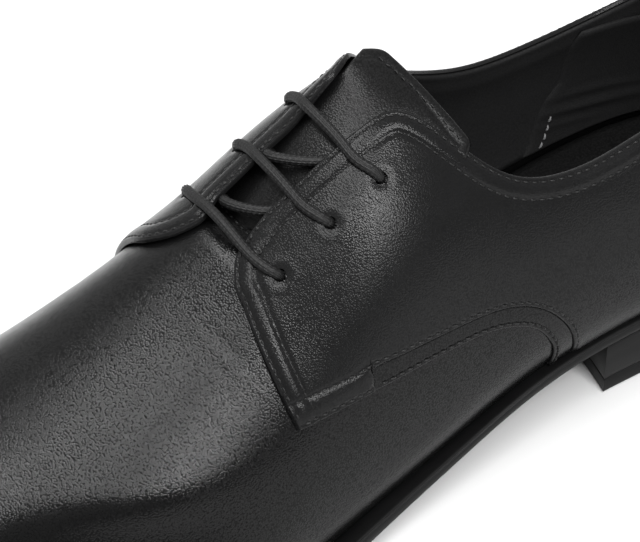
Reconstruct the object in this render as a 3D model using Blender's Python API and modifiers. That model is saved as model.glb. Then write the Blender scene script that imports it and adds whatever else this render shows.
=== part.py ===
"""Plain derby lace-up shoe for the left foot, standing on its heel and forefoot.

The toe points along -X, the heel along +X, the outer (lateral) side along -Y and up is +Z.
A station is a distance along the sole from the heel's back. Each side of the upper is a fan of
wall lines, one for each station, that rise from the feather line (level 0) past the widest
height (level 1) to the ridge over the instep (level 2).
"""

import bmesh
import bpy
import numpy as np

# Driving sizes, in metres
LENGTH = 0.300
WALL = 0.0020
GAP = 0.0003
LAP_GAP = 0.0006
WELD = 0.00002
SHARP_ANGLE = 40
QUARTER_THICK = 0.0013
STRIP_THICK = 0.0008
TONGUE_THICK = 0.0018
INSOLE_THICK = 0.0025
LACE_DIAMETER = 0.0028

# Heel block
HEEL_BREAST = 0.0778
HEEL_TAPER = 0.0020
BREAST_LEAN = 0.0010
BREAST_HOLLOW = 0.0030
LIFT_THICK = 0.0050

# Collar and throat: the facings stop at a reach from the ridge, and the slot ends in a round
COLLAR_FRONT = 0.112
THROAT_START = 0.158
THROAT_ROUND = 0.008
CORNER_SOFTNESS = 0.05

# The ridge's stations close up where the wall lines fan round the toe and the heel
TOE_FAN = 0.232
TOE_FAN_RATE = 0.5
HEEL_FAN = 0.046
HEEL_FAN_RATE = 0.3
RIDGE_STEP = 0.002
TUCK_POWER = 2.6
LOW_LEVELS = (0.0, 0.22, 0.55, 1.0)
HIGH_ROWS = 7

OUTLINE = [  # station, lateral half width, medial half width
    (0.000, 0.0000, 0.0000),
    (0.006, 0.0190, 0.0190),
    (0.018, 0.0295, 0.0295),
    (0.040, 0.0346, 0.0340),
    (0.060, 0.0348, 0.0335),
    (0.078, 0.0344, 0.0315),
    (0.100, 0.0354, 0.0290),
    (0.125, 0.0383, 0.0290),
    (0.150, 0.0427, 0.0330),
    (0.172, 0.0474, 0.0395),
    (0.192, 0.0508, 0.0460),
    (0.210, 0.0514, 0.0502),
    (0.226, 0.0485, 0.0515),
    (0.242, 0.0429, 0.0488),
    (0.258, 0.0364, 0.0430),
    (0.274, 0.0292, 0.0348),
    (0.287, 0.0212, 0.0246),
    (0.296, 0.0120, 0.0135),
    (0.300, 0.0000, 0.0000),
]
SOLE = [  # station, bottom height, edge thickness, feather inset
    (0.000, 0.0180, 0.0040, 0.0042),
    (0.040, 0.0175, 0.0040, 0.0032),
    (0.078, 0.0170, 0.0038, 0.0027),
    (0.100, 0.0148, 0.0038, 0.0029),
    (0.125, 0.0094, 0.0038, 0.0035),
    (0.150, 0.0046, 0.0044, 0.0041),
    (0.172, 0.0012, 0.0050, 0.0047),
    (0.190, -0.0002, 0.0053, 0.0050),
    (0.215, -0.0002, 0.0052, 0.0050),
    (0.240, 0.0010, 0.0051, 0.0050),
    (0.262, 0.0035, 0.0051, 0.0049),
    (0.282, 0.0070, 0.0050, 0.0047),
    (0.300, 0.0110, 0.0050, 0.0045),
]
SOLE_EDGE = [  # share of the edge thickness, inset from the outline
    (0.00, 0.0008),
    (0.12, 0.0000),
    (0.74, 0.0000),
    (0.78, 0.0006),
    (0.86, 0.0006),
    (0.90, 0.0002),
    (1.00, 0.0005),
]
RIDGE = [  # station, distance to the medial side, height
    (0.030, 0.0000, 0.1100),
    (0.060, 0.0000, 0.1125),
    (0.080, 0.0000, 0.1145),
    (0.095, 0.0005, 0.1130),
    (0.110, 0.0010, 0.1068),
    (0.130, 0.0020, 0.0963),
    (0.150, 0.0030, 0.0857),
    (0.170, 0.0035, 0.0757),
    (0.190, 0.0035, 0.0668),
    (0.210, 0.0030, 0.0590),
    (0.230, 0.0022, 0.0525),
    (0.250, 0.0012, 0.0470),
    (0.266, 0.0005, 0.0430),
]
LAST = [  # station, swell past the feather, widest height, draw: lateral then medial of each
    (0.000, 0.0020, 0.0020, 0.0180, 0.0180, 1.80, 1.80),
    (0.020, 0.0026, 0.0026, 0.0180, 0.0180, 2.80, 3.30),
    (0.040, 0.0030, 0.0032, 0.0180, 0.0190, 3.30, 4.00),
    (0.078, 0.0038, 0.0055, 0.0180, 0.0220, 3.20, 3.80),
    (0.098, 0.0040, 0.0085, 0.0175, 0.0250, 2.60, 3.00),
    (0.112, 0.0040, 0.0100, 0.0170, 0.0260, 1.70, 1.85),
    (0.125, 0.0040, 0.0102, 0.0160, 0.0245, 1.15, 1.20),
    (0.160, 0.0030, 0.0065, 0.0140, 0.0185, 1.00, 1.00),
    (0.200, 0.0025, 0.0028, 0.0125, 0.0135, 0.95, 0.95),
    (0.250, 0.0025, 0.0025, 0.0120, 0.0120, 0.87, 0.87),
    (0.300, 0.0025, 0.0025, 0.0120, 0.0120, 0.83, 0.83),
]
FLANK_LATERAL = [  # station, how far the flank draws in, share of the rise that it takes up
    (0.170, 0.0000, 0.38),
    (0.190, 0.0015, 0.42),
    (0.205, 0.0036, 0.50),
    (0.221, 0.0054, 0.64),
    (0.236, 0.0058, 0.76),
    (0.255, 0.0046, 0.78),
    (0.280, 0.0020, 0.78),
    (0.300, 0.0000, 0.78),
]
FLANK_MEDIAL = [
    (0.170, 0.0000, 1.00),
    (0.190, 0.0016, 1.00),
    (0.205, 0.0024, 1.00),
    (0.221, 0.0026, 1.00),
    (0.236, 0.0024, 1.00),
    (0.255, 0.0018, 1.00),
    (0.280, 0.0008, 1.00),
    (0.300, 0.0000, 1.00),
]
TOPLINE = [  # station, lateral height, medial height
    (0.000, 0.0790, 0.0790),
    (0.020, 0.0750, 0.0700),
    (0.040, 0.0725, 0.0650),
    (0.060, 0.0714, 0.0642),
    (0.075, 0.0710, 0.0660),
    (0.088, 0.0731, 0.0720),
    (0.098, 0.0780, 0.0793),
    (0.106, 0.0856, 0.0876),
    (0.112, 0.0935, 0.0950),
    (0.118, 0.1015, 0.1020),
    (0.124, 0.1100, 0.1100),
]
QUARTER_EDGE = [  # station, height: lower edge of a quarter, from the sole up to its tab
    (0.0880, 0.0215),
    (0.0883, 0.0250),
    (0.0893, 0.0307),
    (0.0920, 0.0368),
    (0.0965, 0.0428),
    (0.1021, 0.0470),
    (0.1101, 0.0500),
    (0.1160, 0.0510),
    (0.1334, 0.0525),
    (0.1450, 0.0532),
]
STRIP_EDGE = [  # station, height: lower edge of a strip, from the sole up to the tab
    (0.0948, 0.0206),
    (0.0945, 0.0279),
    (0.0959, 0.0323),
    (0.0989, 0.0375),
    (0.1036, 0.0415),
    (0.1084, 0.0438),
    (0.1137, 0.0453),
    (0.1225, 0.0463),
    (0.1331, 0.0469),
    (0.1445, 0.0472),
]
TAB = [  # station, height: the step down to a quarter's tab
    (0.1456, 0.0530),
    (0.1461, 0.0473),
]
QUARTER_CORNER = {"lateral": (0.1675, 0.0472), "medial": (0.1765, 0.0440)}
QUARTER_TIP = {"lateral": 0.1625, "medial": 0.1700}
QUARTER_FOOT = 0.08
BACK_SEAM = 0.0012
EDGE_POINTS = 18

TONGUE = [  # station, middle's distance to the medial side, height, half width, crown, medial rise
    (0.1740, 0.0035, 0.0650, 0.0115, 0.0045, 0.0000),
    (0.1600, 0.0030, 0.0722, 0.0132, 0.0052, 0.0000),
    (0.1500, 0.0022, 0.0768, 0.0142, 0.0054, 0.0004),
    (0.1400, 0.0012, 0.0814, 0.0144, 0.0050, 0.0008),
    (0.1300, 0.0000, 0.0864, 0.0134, 0.0042, 0.0020),
    (0.1180, -0.0018, 0.0904, 0.0105, 0.0026, 0.0036),
    (0.1100, -0.0018, 0.0926, 0.0112, 0.0012, 0.0050),
    (0.1046, -0.0018, 0.0934, 0.0150, 0.0008, 0.0072),
]
TONGUE_ROUND = 0.0006
TONGUE_SKEW = 0.0034
LATERAL = -1
MEDIAL = 1
SIDES = {"lateral": LATERAL, "medial": MEDIAL}
FACING_REACH = {LATERAL: 0.0087, MEDIAL: 0.0045}
LACED = ("front", "middle", "back")
EYELETS = {  # station, reach from the ridge, for each bar of the lace
    LATERAL: [(0.1562, 0.0212), (0.1415, 0.0200), (0.1265, 0.0187)],
    MEDIAL: [(0.1600, 0.0150), (0.1455, 0.0138), (0.1310, 0.0126)],
}


def spline(knots, values, at):
    """Natural cubic through the knots, read at any places between the first and last."""
    knots = np.asarray(knots, float)
    values = np.asarray(values, float)
    at = np.clip(np.asarray(at, float), knots[0], knots[-1])
    step = np.diff(knots)
    slope = np.diff(values) / step
    matrix = np.eye(len(knots))
    bend = np.zeros(len(knots))
    for i in range(1, len(knots) - 1):
        matrix[i, i - 1:i + 2] = step[i - 1], 2 * (step[i - 1] + step[i]), step[i]
        bend[i] = 6 * (slope[i] - slope[i - 1])
    bend = np.linalg.solve(matrix, bend)
    i = np.clip(np.searchsorted(knots, at) - 1, 0, len(step) - 1)
    before = at - knots[i]
    after = knots[i + 1] - at
    curved = (bend[i] * after**3 + bend[i + 1] * before**3) / (6 * step[i])
    low = (values[i] / step[i] - bend[i] * step[i] / 6) * after
    high = (values[i + 1] / step[i] - bend[i + 1] * step[i] / 6) * before
    return curved + low + high


def column(table, index, station):
    """One column of a table, as a smooth function of the station."""
    rows = np.array(table)
    order = np.argsort(rows[:, 0])
    return spline(rows[order, 0], rows[order, index], station)


def turn(station):
    """Share of the way round one side, 0 at the heel and 1 at the toe, even round the ends."""
    return np.arccos(np.clip(1 - 2 * np.asarray(station, float) / LENGTH, -1, 1)) / np.pi


def station_at(share):
    return LENGTH * (1 - np.cos(np.pi * np.asarray(share, float))) / 2


def outline(side, share):
    """Sole outline of one side: station and distance to the medial side."""
    rows = np.array(OUTLINE)
    width = spline(turn(rows[:, 0]), rows[:, 1 if side == LATERAL else 2], share)
    return station_at(share), side * width


def inset_outline(side, share, inset):
    """Sole outline moved inwards, square to itself."""
    small = 1e-4
    u, y = outline(side, share)
    u_after, y_after = outline(side, np.minimum(share + small, 1))
    u_before, y_before = outline(side, np.maximum(share - small, 0))
    du = u_after - u_before
    dy = y_after - y_before
    size = np.hypot(du, dy)
    return u + side * inset * dy / size, y - side * inset * du / size


def place(station, y, z):
    """Points of the part's frame."""
    x = LENGTH / 2 - np.asarray(station, float)
    return np.stack(np.broadcast_arrays(x, y, z), -1)


def sole_bottom(station):
    """Height of the sole's underside, flat on the floor under the ball."""
    return np.maximum(column(SOLE, 1, station), 0)


def sole_top(station):
    return sole_bottom(station) + column(SOLE, 2, station)


def ridge_station(station):
    """Station on the ridge where the wall line of a sole station ends."""
    front = np.where(station > TOE_FAN, TOE_FAN + (station - TOE_FAN) * TOE_FAN_RATE, station)
    return np.where(station < HEEL_FAN, HEEL_FAN - (HEEL_FAN - station) * HEEL_FAN_RATE, front)


def toe_slope(station):
    """Slope of the ridge where the toe's wall lines leave it."""
    middle = np.clip(station, TOE_FAN, RIDGE[-1][0] - RIDGE_STEP)
    rise = column(RIDGE, 2, middle + RIDGE_STEP) - column(RIDGE, 2, middle - RIDGE_STEP)
    return np.where(station > TOE_FAN, rise / (2 * RIDGE_STEP), 0)


def flank(side, share, level, across):
    """Share of a wall line's plan width that the sloped flank of the toe takes off it."""
    rows = FLANK_LATERAL if side == LATERAL else FLANK_MEDIAL
    station = np.maximum(station_at(share), rows[0][0])
    part = np.clip((level - 1) / column(rows, 2, station), 0, 1)
    return column(rows, 1, station) / across * np.sin(np.pi * part) ** 2


def wall_line(side, share):
    """Feather point, widest point, ridge point and draw of a wall line."""
    station = station_at(share)
    inset = column(SOLE, 3, station)
    swell, widest, draw = (column(LAST, first + (side == MEDIAL), station) for first in (1, 3, 5))
    feather_u, feather_y = inset_outline(side, share, inset)
    wide_u, wide_y = inset_outline(side, share, inset - swell)
    feather_z = sole_top(feather_u) + GAP
    wide_z = feather_z + widest
    ridge_u = ridge_station(station)
    ridge_y = column(RIDGE, 1, ridge_u)
    ridge_z = column(RIDGE, 2, ridge_u)
    feather = (feather_u, feather_y, feather_z)
    return feather, (wide_u, wide_y, wide_z), (ridge_u, ridge_y, ridge_z), draw


def wall(side, share, level):
    """Outer surface of the upper."""
    share, level = np.broadcast_arrays(np.asarray(share, float), np.asarray(level, float))
    feather, wide, ridge, draw = wall_line(side, share)
    out = 1 - (1 - np.clip(level, 0, 1)) ** TUCK_POWER
    angle = np.clip(level - 1, 0, 1) * np.pi / 2
    across = np.hypot(wide[0] - ridge[0], wide[1] - ridge[1])
    width = np.cos(angle) ** draw - flank(side, share, level, across)
    low = level <= 1
    u = np.where(low, feather[0] + (wide[0] - feather[0]) * out, ridge[0] + (wide[0] - ridge[0]) * width)
    y = np.where(low, feather[1] + (wide[1] - feather[1]) * out, ridge[1] + (wide[1] - ridge[1]) * width)
    low_z = feather[2] + (wide[2] - feather[2]) * np.clip(level, 0, 1)
    high_z = wide[2] + (ridge[2] - wide[2]) * np.sin(angle)
    high_z = high_z + toe_slope(ridge[0]) * (wide[0] - ridge[0]) * width * (1 - width)
    return place(u, y, np.where(low, low_z, high_z))


def wall_normal(side, share, level):
    """Outward direction of the upper's outer surface."""
    small = 2e-3
    share = np.asarray(share, float)
    level = np.asarray(level, float)
    along = wall(side, np.minimum(share + small, 1), level) - wall(side, np.maximum(share - small, 0), level)
    up = wall(side, share, np.minimum(level + small, 2)) - wall(side, share, np.maximum(level - small, 0))
    normal = -side * np.cross(up, along)
    return normal / np.linalg.norm(normal, axis=-1, keepdims=True)


def level_at_height(side, share, height):
    """Level of a wall line at a height."""
    feather, wide, ridge, _ = wall_line(side, share)
    low = (height - feather[2]) / (wide[2] - feather[2])
    high = np.clip((height - wide[2]) / (ridge[2] - wide[2]), 0, 1)
    return np.where(low <= 1, np.maximum(low, 0), 1 + np.arcsin(high) * 2 / np.pi)


def level_at_reach(side, share, reach):
    """Level of a wall line at a plan distance from the ridge."""
    _, wide, ridge, draw = wall_line(side, share)
    width = np.clip(reach / np.hypot(wide[0] - ridge[0], wide[1] - ridge[1]), 0, 1)
    return 1 + np.arccos(width ** (1 / draw)) * 2 / np.pi


def soft_least(a, b):
    """The lower of two levels, with a rounded change from one to the other."""
    least = np.minimum(a, b)
    return least - CORNER_SOFTNESS * np.log(
        np.exp(-(a - least) / CORNER_SOFTNESS) + np.exp(-(b - least) / CORNER_SOFTNESS)
    )


def edge_level(side, share, throat_end=True):
    """Level of the collar's topline and of the facing's edge."""
    station = station_at(share)
    collar = level_at_height(side, share, column(TOPLINE, 1 if side == LATERAL else 2, station))
    past = np.clip((station - THROAT_START) / THROAT_ROUND, 0, 1)
    reach = FACING_REACH[side] * np.sqrt(1 - past**2) if throat_end else FACING_REACH[side]
    facing = level_at_reach(side, share, reach)
    level = soft_least(collar, facing)
    return np.where(station >= THROAT_START + THROAT_ROUND, 2.0, level) if throat_end else level


def even_path(rows, count):
    """Rows resampled evenly along the smooth curve through them."""
    rows = np.asarray(rows, float)
    run = np.concatenate([[0], np.cumsum(np.linalg.norm(np.diff(rows, axis=0), axis=1))])
    at = np.linspace(0, run[-1], count)
    return np.stack([spline(run, rows[:, i], at) for i in range(rows.shape[1])], -1)


def grid_faces(rows, columns, flip=False):
    """Quads of a grid of points, row by row."""
    faces = []
    for i in range(rows - 1):
        for j in range(columns - 1):
            a = i * columns + j
            quad = (a, a + 1, a + columns + 1, a + columns)
            faces.append(quad[::-1] if flip else quad)
    return faces


def make_object(name, points, faces, closed=False):
    """Mesh object from points and faces, welded where they meet, with its own material."""
    mesh = bpy.data.meshes.new(name)
    mesh.from_pydata([tuple(p) for p in points], [], faces)
    work = bmesh.new()
    work.from_mesh(mesh)
    bmesh.ops.remove_doubles(work, verts=work.verts, dist=WELD)
    bmesh.ops.dissolve_degenerate(work, edges=work.edges, dist=WELD)
    if closed:
        bmesh.ops.recalc_face_normals(work, faces=work.faces)
    work.to_mesh(mesh)
    work.free()
    mesh.shade_smooth()
    mesh.set_sharp_from_angle(angle=np.radians(SHARP_ANGLE))
    mesh.validate()
    piece = bpy.data.objects.new(name, mesh)
    SHOE.objects.link(piece)
    finish(piece)
    return piece


def finish(piece):
    """Principled material of a piece, by the stuff it is made of."""
    kind = next(words for words in FINISHES if piece.name.startswith(words))
    colour, roughness = FINISHES[kind]
    material = bpy.data.materials.new(piece.name)
    material.use_nodes = True
    shader = material.node_tree.nodes["Principled BSDF"]
    shader.inputs["Base Color"].default_value = (*colour, 1)
    shader.inputs["Roughness"].default_value = roughness
    shader.inputs["Metallic"].default_value = 0
    piece.data.materials.append(material)


def thicken(piece, thickness, offset):
    """Solidify an open sheet, outwards (1), inwards (-1) or both ways (0)."""
    shell = piece.modifiers.new("thickness", "SOLIDIFY")
    shell.thickness = thickness
    shell.offset = offset
    shell.use_quality_normals = True


def ringed_solid(name, rings):
    """Closed solid through stacked rings, whose ends are bridged from side to side."""
    count = len(rings[0])
    points = np.concatenate(rings)
    faces = []
    for i in range(len(rings) - 1):
        for j in range(count):
            k = (j + 1) % count
            faces.append((i * count + j, i * count + k, (i + 1) * count + k, (i + 1) * count + j))
    top = (len(rings) - 1) * count
    for j in range(count // 2):
        near = (j, j + 1)
        far = ((count - j - 1) % count, (count - j) % count)
        faces.append((near[1], near[0], far[1], far[0]))
        faces.append((top + near[0], top + near[1], top + far[0], top + far[1]))
    return make_object(name, points, faces, closed=True)


def sole_ring(shares, inset, height):
    """Closed ring along the sole's outline: lateral side to the toe, then back on the medial side."""
    points = []
    for side, walk in ((LATERAL, shares), (MEDIAL, shares[::-1][1:-1])):
        u, y = inset_outline(side, walk, inset(station_at(walk)))
        points.append(place(u, y, height(np.clip(u, 0, LENGTH))))
    return np.concatenate(points)


def make_outsole():
    shares = np.linspace(0, 1, 51)
    rings = []
    for share, inset in SOLE_EDGE:
        rings.append(
            sole_ring(
                shares,
                lambda u, inset=inset: np.full_like(u, inset),
                lambda u, share=share: sole_bottom(u) + share * column(SOLE, 2, u),
            )
        )
    return ringed_solid("outsole", rings)


def make_insole():
    shares = np.linspace(0, 1, 41)
    rings = []
    for lift in (GAP, GAP + INSOLE_THICK):
        rings.append(
            sole_ring(
                shares,
                lambda u: column(SOLE, 3, u) + WALL + GAP,
                lambda u, lift=lift: sole_top(u) + lift,
            )
        )
    return ringed_solid("insole", rings)


def heel_ring(height):
    """Closed ring of the heel at a share of its height, 0 at the floor."""
    inset = HEEL_TAPER * (1 - height) + GAP
    breast = HEEL_BREAST + BREAST_LEAN * (1 - height)
    shares = np.linspace(0, turn(breast), 17)
    lateral = np.stack(inset_outline(LATERAL, shares, inset), -1)
    medial = np.stack(inset_outline(MEDIAL, shares, inset), -1)
    across = np.linspace(0, 1, 9)[1:-1]
    front = lateral[-1] + (medial[-1] - lateral[-1]) * across[:, None]
    front[:, 0] -= BREAST_HOLLOW * 4 * across * (1 - across)
    return np.concatenate([lateral, front, medial[::-1][:-1]])


def heel_solid(name, low, high):
    """Heel layer between two height functions of the station."""
    rings = []
    for height in (low, high):
        plan = heel_ring(float(height(np.array(HEEL_BREAST))) / float(sole_bottom(np.array(HEEL_BREAST))))
        rings.append(place(plan[:, 0], plan[:, 1], height(plan[:, 0])))
    count = len(rings[0])
    faces = [tuple(range(count))[::-1], tuple(range(count, 2 * count))]
    for j in range(count):
        k = (j + 1) % count
        faces.append((j, k, count + k, count + j))
    return make_object(name, np.concatenate(rings), faces, closed=True)


def make_heel():
    heel_solid("heel_lift", lambda u: np.zeros_like(u), lambda u: np.full_like(u, LIFT_THICK))
    heel_solid("heel_stack", lambda u: np.full_like(u, LIFT_THICK + GAP), lambda u: sole_bottom(u) - GAP)


def upper_shares():
    """Wall lines of the upper: closer at the throat's end, even round the heel and toe."""
    heel = np.linspace(0, turn(HEEL_FAN), 9)
    collar = turn(np.linspace(HEEL_FAN, COLLAR_FRONT, 13))
    facing = turn(np.linspace(COLLAR_FRONT, THROAT_START, 10))
    throat = turn(THROAT_START + THROAT_ROUND * np.sin(np.linspace(0, np.pi / 2, 6)))
    vamp = turn(np.linspace(THROAT_START + THROAT_ROUND, TOE_FAN, 9))
    toe = np.linspace(turn(TOE_FAN), 1, 10)
    return np.concatenate([heel, collar[1:], facing[1:], throat[1:], vamp[1:], toe[1:]])


def wall_rows(top):
    """Levels of the upper's rows, from the feather line to the top level of each wall line."""
    low = np.array(LOW_LEVELS)
    high = np.linspace(0, 1, HIGH_ROWS + 1)[1:]
    return np.concatenate([np.repeat(low[:, None], len(top), 1), 1 + high[:, None] * (top - 1)])


def make_upper():
    shares = upper_shares()
    points = []
    faces = []
    for side in SIDES.values():
        levels = wall_rows(edge_level(side, shares))
        sheet = wall(side, shares[None, :], levels)
        start = sum(len(p) for p in points)
        faces += [
            tuple(start + i for i in face)
            for face in grid_faces(*levels.shape, flip=side == LATERAL)
        ]
        points.append(sheet.reshape(-1, 3))
    upper = make_object("upper", np.concatenate(points), faces)
    thicken(upper, WALL, -1)
    return upper


def side_path(side, rows):
    """Rows of station and height as shares and levels of one side."""
    rows = np.asarray(rows, float)
    share = turn(rows[:, 0])
    return np.stack([share, level_at_height(side, share, rows[:, 1])], -1)


def lapped_sheet(name, side, low, high, blend, thickness):
    """Overlay between two paths of shares and levels, lapped over the upper in rows at the blends."""
    mesh = low + (high - low) * blend[..., None]
    share, level = mesh[..., 0], mesh[..., 1]
    sheet = wall(side, share, level) + LAP_GAP * wall_normal(side, share, level)
    faces = grid_faces(*share.shape, flip=side == LATERAL)
    piece = make_object(name, sheet.reshape(-1, 3), faces)
    thicken(piece, thickness, 1)
    return piece


def make_quarter(word, side):
    """Side panel: on the upper's own wall lines behind its rising edge, fanned in front of it."""
    corner = QUARTER_EDGE[0][0]
    shares = upper_shares()
    shares = np.concatenate([[BACK_SEAM], shares[(shares > 0) & (shares < turn(corner) - BACK_SEAM)]])
    foot = np.stack([shares, np.full(len(shares), QUARTER_FOOT)], -1)
    rise = side_path(side, even_path(QUARTER_EDGE, EDGE_POINTS))
    step = side_path(side, TAB)
    tab = side_path(side, even_path([TAB[-1], QUARTER_CORNER[word]], 4))
    front = np.concatenate([rise, step, tab[1:]])
    even = np.linspace(front[0, 0], turn(QUARTER_TIP[word]), len(front))
    tops = np.concatenate([shares, (even + np.minimum(front[:, 0], even[-1])) / 2])
    low = np.concatenate([foot, front])
    high = np.stack([tops, edge_level(side, tops, throat_end=False)], -1)
    blend = np.clip((wall_rows(high[:, 1]) - low[:, 1]) / (high[:, 1] - low[:, 1]), 0, 1)
    return lapped_sheet(f"quarter_{word}", side, low, high, blend, QUARTER_THICK)


def make_strip(word, side):
    low = side_path(side, even_path(STRIP_EDGE, EDGE_POINTS))
    high = side_path(side, even_path(QUARTER_EDGE, EDGE_POINTS))
    width = np.linalg.norm(wall(side, *low.T) - wall(side, *high.T), axis=1, keepdims=True)
    high = high + (low - high) * 3 * GAP / width
    blend = np.repeat([[0.0], [0.5], [1.0]], EDGE_POINTS, axis=1)
    return lapped_sheet(f"strip_{word}", side, low, high, blend, STRIP_THICK)


def make_tongue():
    rows = np.array(TONGUE)
    along = np.linspace(rows[0, 0], rows[-1, 0], 15)
    across = np.linspace(-1, 1, 9)
    middle, height, half, crown, rise = (column(TONGUE, i, along)[:, None] for i in range(1, 6))
    back = np.clip((rows[-2, 0] - along) / (rows[-2, 0] - rows[-1, 0]), 0, 1)[:, None]
    station = along[:, None] + back * (TONGUE_ROUND * across**2 + TONGUE_SKEW * across)
    sheet = place(station, middle + half * across, height - crown * across**2 + rise * across)
    tongue = make_object("tongue", sheet.reshape(-1, 3), grid_faces(len(along), len(across), flip=True))
    thicken(tongue, TONGUE_THICK, 0)
    return tongue


def make_tube(name, points):
    """Lace run along a smooth curve through the points."""
    path = even_path(points, 13)
    curve = bpy.data.curves.new(name, "CURVE")
    curve.dimensions = "3D"
    curve.bevel_depth = LACE_DIAMETER / 2
    curve.bevel_resolution = 2
    curve.use_fill_caps = True
    run = curve.splines.new("POLY")
    run.points.add(len(path) - 1)
    for point, at in zip(run.points, path):
        point.co = (*at, 1)
    piece = bpy.data.objects.new(name, curve)
    SHOE.objects.link(piece)
    finish(piece)
    return piece


def beside_wall(side, station, reach, offset):
    """Point off the upper's outer surface, by station and distance from the ridge."""
    share = turn(station)
    level = level_at_reach(side, share, reach)
    return wall(side, share, level) + offset * wall_normal(side, share, level)


def make_laces():
    over = LAP_GAP + QUARTER_THICK + LACE_DIAMETER / 2 + GAP
    under = -(WALL + LACE_DIAMETER / 2 + 2 * GAP)
    for i, name in enumerate(LACED):
        ends = {}
        for side in SIDES.values():
            station, reach = EYELETS[side][i]
            reaches = (reach, (reach + FACING_REACH[side]) / 2, FACING_REACH[side])
            ends[side] = [beside_wall(side, station, r, over) for r in reaches]
        make_tube(f"lace_bar_{name}", np.array(ends[LATERAL] + ends[MEDIAL][::-1]))
    for i, name in enumerate(("front", "back")):
        station, reach = EYELETS[MEDIAL][i]
        next_station, next_reach = EYELETS[LATERAL][i + 1]
        step = (next_station - station) / 4
        run = [
            beside_wall(MEDIAL, station, reach, under),
            beside_wall(MEDIAL, station + step, FACING_REACH[MEDIAL], under),
            beside_wall(LATERAL, next_station - step, FACING_REACH[LATERAL], under),
            beside_wall(LATERAL, next_station, next_reach, under),
        ]
        make_tube(f"lace_cross_{name}", np.array(run))



FINISHES = {  # first word of the name: colour, roughness
    "outsole": ((0.030, 0.030, 0.031), 0.55),
    "heel": ((0.022, 0.022, 0.023), 0.50),
    "insole": ((0.016, 0.016, 0.017), 0.70),
    "tongue": ((0.026, 0.026, 0.027), 0.42),
    "lace": ((0.018, 0.018, 0.019), 0.60),
    "strip": ((0.026, 0.026, 0.027), 0.40),
    "quarter": ((0.026, 0.026, 0.027), 0.40),
    "upper": ((0.026, 0.026, 0.027), 0.38),
}

for leftover in list(bpy.data.objects):
    bpy.data.objects.remove(leftover)
SHOE = bpy.data.collections.new("lace_up_shoe")
bpy.context.scene.collection.children.link(SHOE)

make_outsole()
make_heel()
make_upper()
for word, side in SIDES.items():
    make_quarter(word, side)
    make_strip(word, side)
make_tongue()
make_insole()
make_laces()
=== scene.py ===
"""Looks of the left lace-up shoe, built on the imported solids.

A station is a distance along the sole from the heel's back. Each side of the upper is a fan of
wall lines, one for each station, that rise from the feather line (level 0) past the widest
height (level 1) to the ridge over the instep (level 2).
"""

import bmesh
import bpy
import numpy as np
from mathutils import Matrix, Vector


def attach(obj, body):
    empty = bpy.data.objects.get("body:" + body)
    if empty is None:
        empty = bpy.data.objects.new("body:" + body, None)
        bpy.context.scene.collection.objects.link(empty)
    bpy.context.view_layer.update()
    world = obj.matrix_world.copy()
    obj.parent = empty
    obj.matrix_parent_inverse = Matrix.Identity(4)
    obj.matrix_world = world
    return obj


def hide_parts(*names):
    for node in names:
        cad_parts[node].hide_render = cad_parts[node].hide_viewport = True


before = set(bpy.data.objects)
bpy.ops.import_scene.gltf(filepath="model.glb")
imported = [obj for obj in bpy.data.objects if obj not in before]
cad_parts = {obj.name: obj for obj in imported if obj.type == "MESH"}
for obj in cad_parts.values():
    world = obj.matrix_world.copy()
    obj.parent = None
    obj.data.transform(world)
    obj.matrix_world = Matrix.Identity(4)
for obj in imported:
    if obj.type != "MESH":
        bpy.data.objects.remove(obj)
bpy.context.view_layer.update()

# Sizes of the form in metres, as in the solids apart from some edges that follow the photo more closely
LENGTH = 0.300
GAP = 0.0003  # between the sole and what meets it
TOE_FAN, TOE_FAN_RATE = 0.232, 0.5  # station where wall lines fan out, and pace of their ends on the ridge
HEEL_FAN, HEEL_FAN_RATE = 0.046, 0.3
RIDGE_STEP = 0.002
RIDGE_LEVEL = 2
TUCK_POWER = 2.6  # how sharply the wall tucks in to the feather line
LEVEL_PACE = 6.7  # rise for each level over the widest height, against the rise below it
CORNER_SOFTNESS = 0.06  # in levels, where the collar runs into the facing
CORNER_SPREAD = 0.0032
LATERAL, MEDIAL = -1, 1
SIDES = {"lateral": LATERAL, "medial": MEDIAL}
FACING_REACH = {LATERAL: 0.0087, MEDIAL: 0.0018}  # from the ridge to the facing's edge

OUTLINE = [  # station, lateral half width, medial half width
    (0.000, 0.0000, 0.0000), (0.006, 0.0190, 0.0190), (0.018, 0.0295, 0.0295), (0.040, 0.0346, 0.0340),
    (0.060, 0.0348, 0.0335), (0.078, 0.0344, 0.0315), (0.100, 0.0354, 0.0290), (0.125, 0.0383, 0.0290),
    (0.150, 0.0427, 0.0330), (0.172, 0.0474, 0.0395), (0.192, 0.0508, 0.0460), (0.210, 0.0514, 0.0502),
    (0.226, 0.0485, 0.0515), (0.242, 0.0429, 0.0488), (0.258, 0.0364, 0.0430), (0.274, 0.0292, 0.0348),
    (0.287, 0.0212, 0.0246), (0.296, 0.0120, 0.0135), (0.300, 0.0000, 0.0000),
]
SOLE = [  # station, bottom height, edge thickness, feather inset
    (0.000, 0.0180, 0.0040, 0.0042), (0.040, 0.0175, 0.0040, 0.0032), (0.078, 0.0170, 0.0038, 0.0027),
    (0.100, 0.0148, 0.0038, 0.0029), (0.125, 0.0094, 0.0038, 0.0035), (0.150, 0.0046, 0.0044, 0.0041),
    (0.172, 0.0012, 0.0050, 0.0047), (0.190, -0.0002, 0.0053, 0.0050), (0.215, -0.0002, 0.0052, 0.0050),
    (0.240, 0.0010, 0.0051, 0.0050), (0.262, 0.0035, 0.0051, 0.0049), (0.282, 0.0070, 0.0050, 0.0047),
    (0.300, 0.0110, 0.0050, 0.0045),
]
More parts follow.
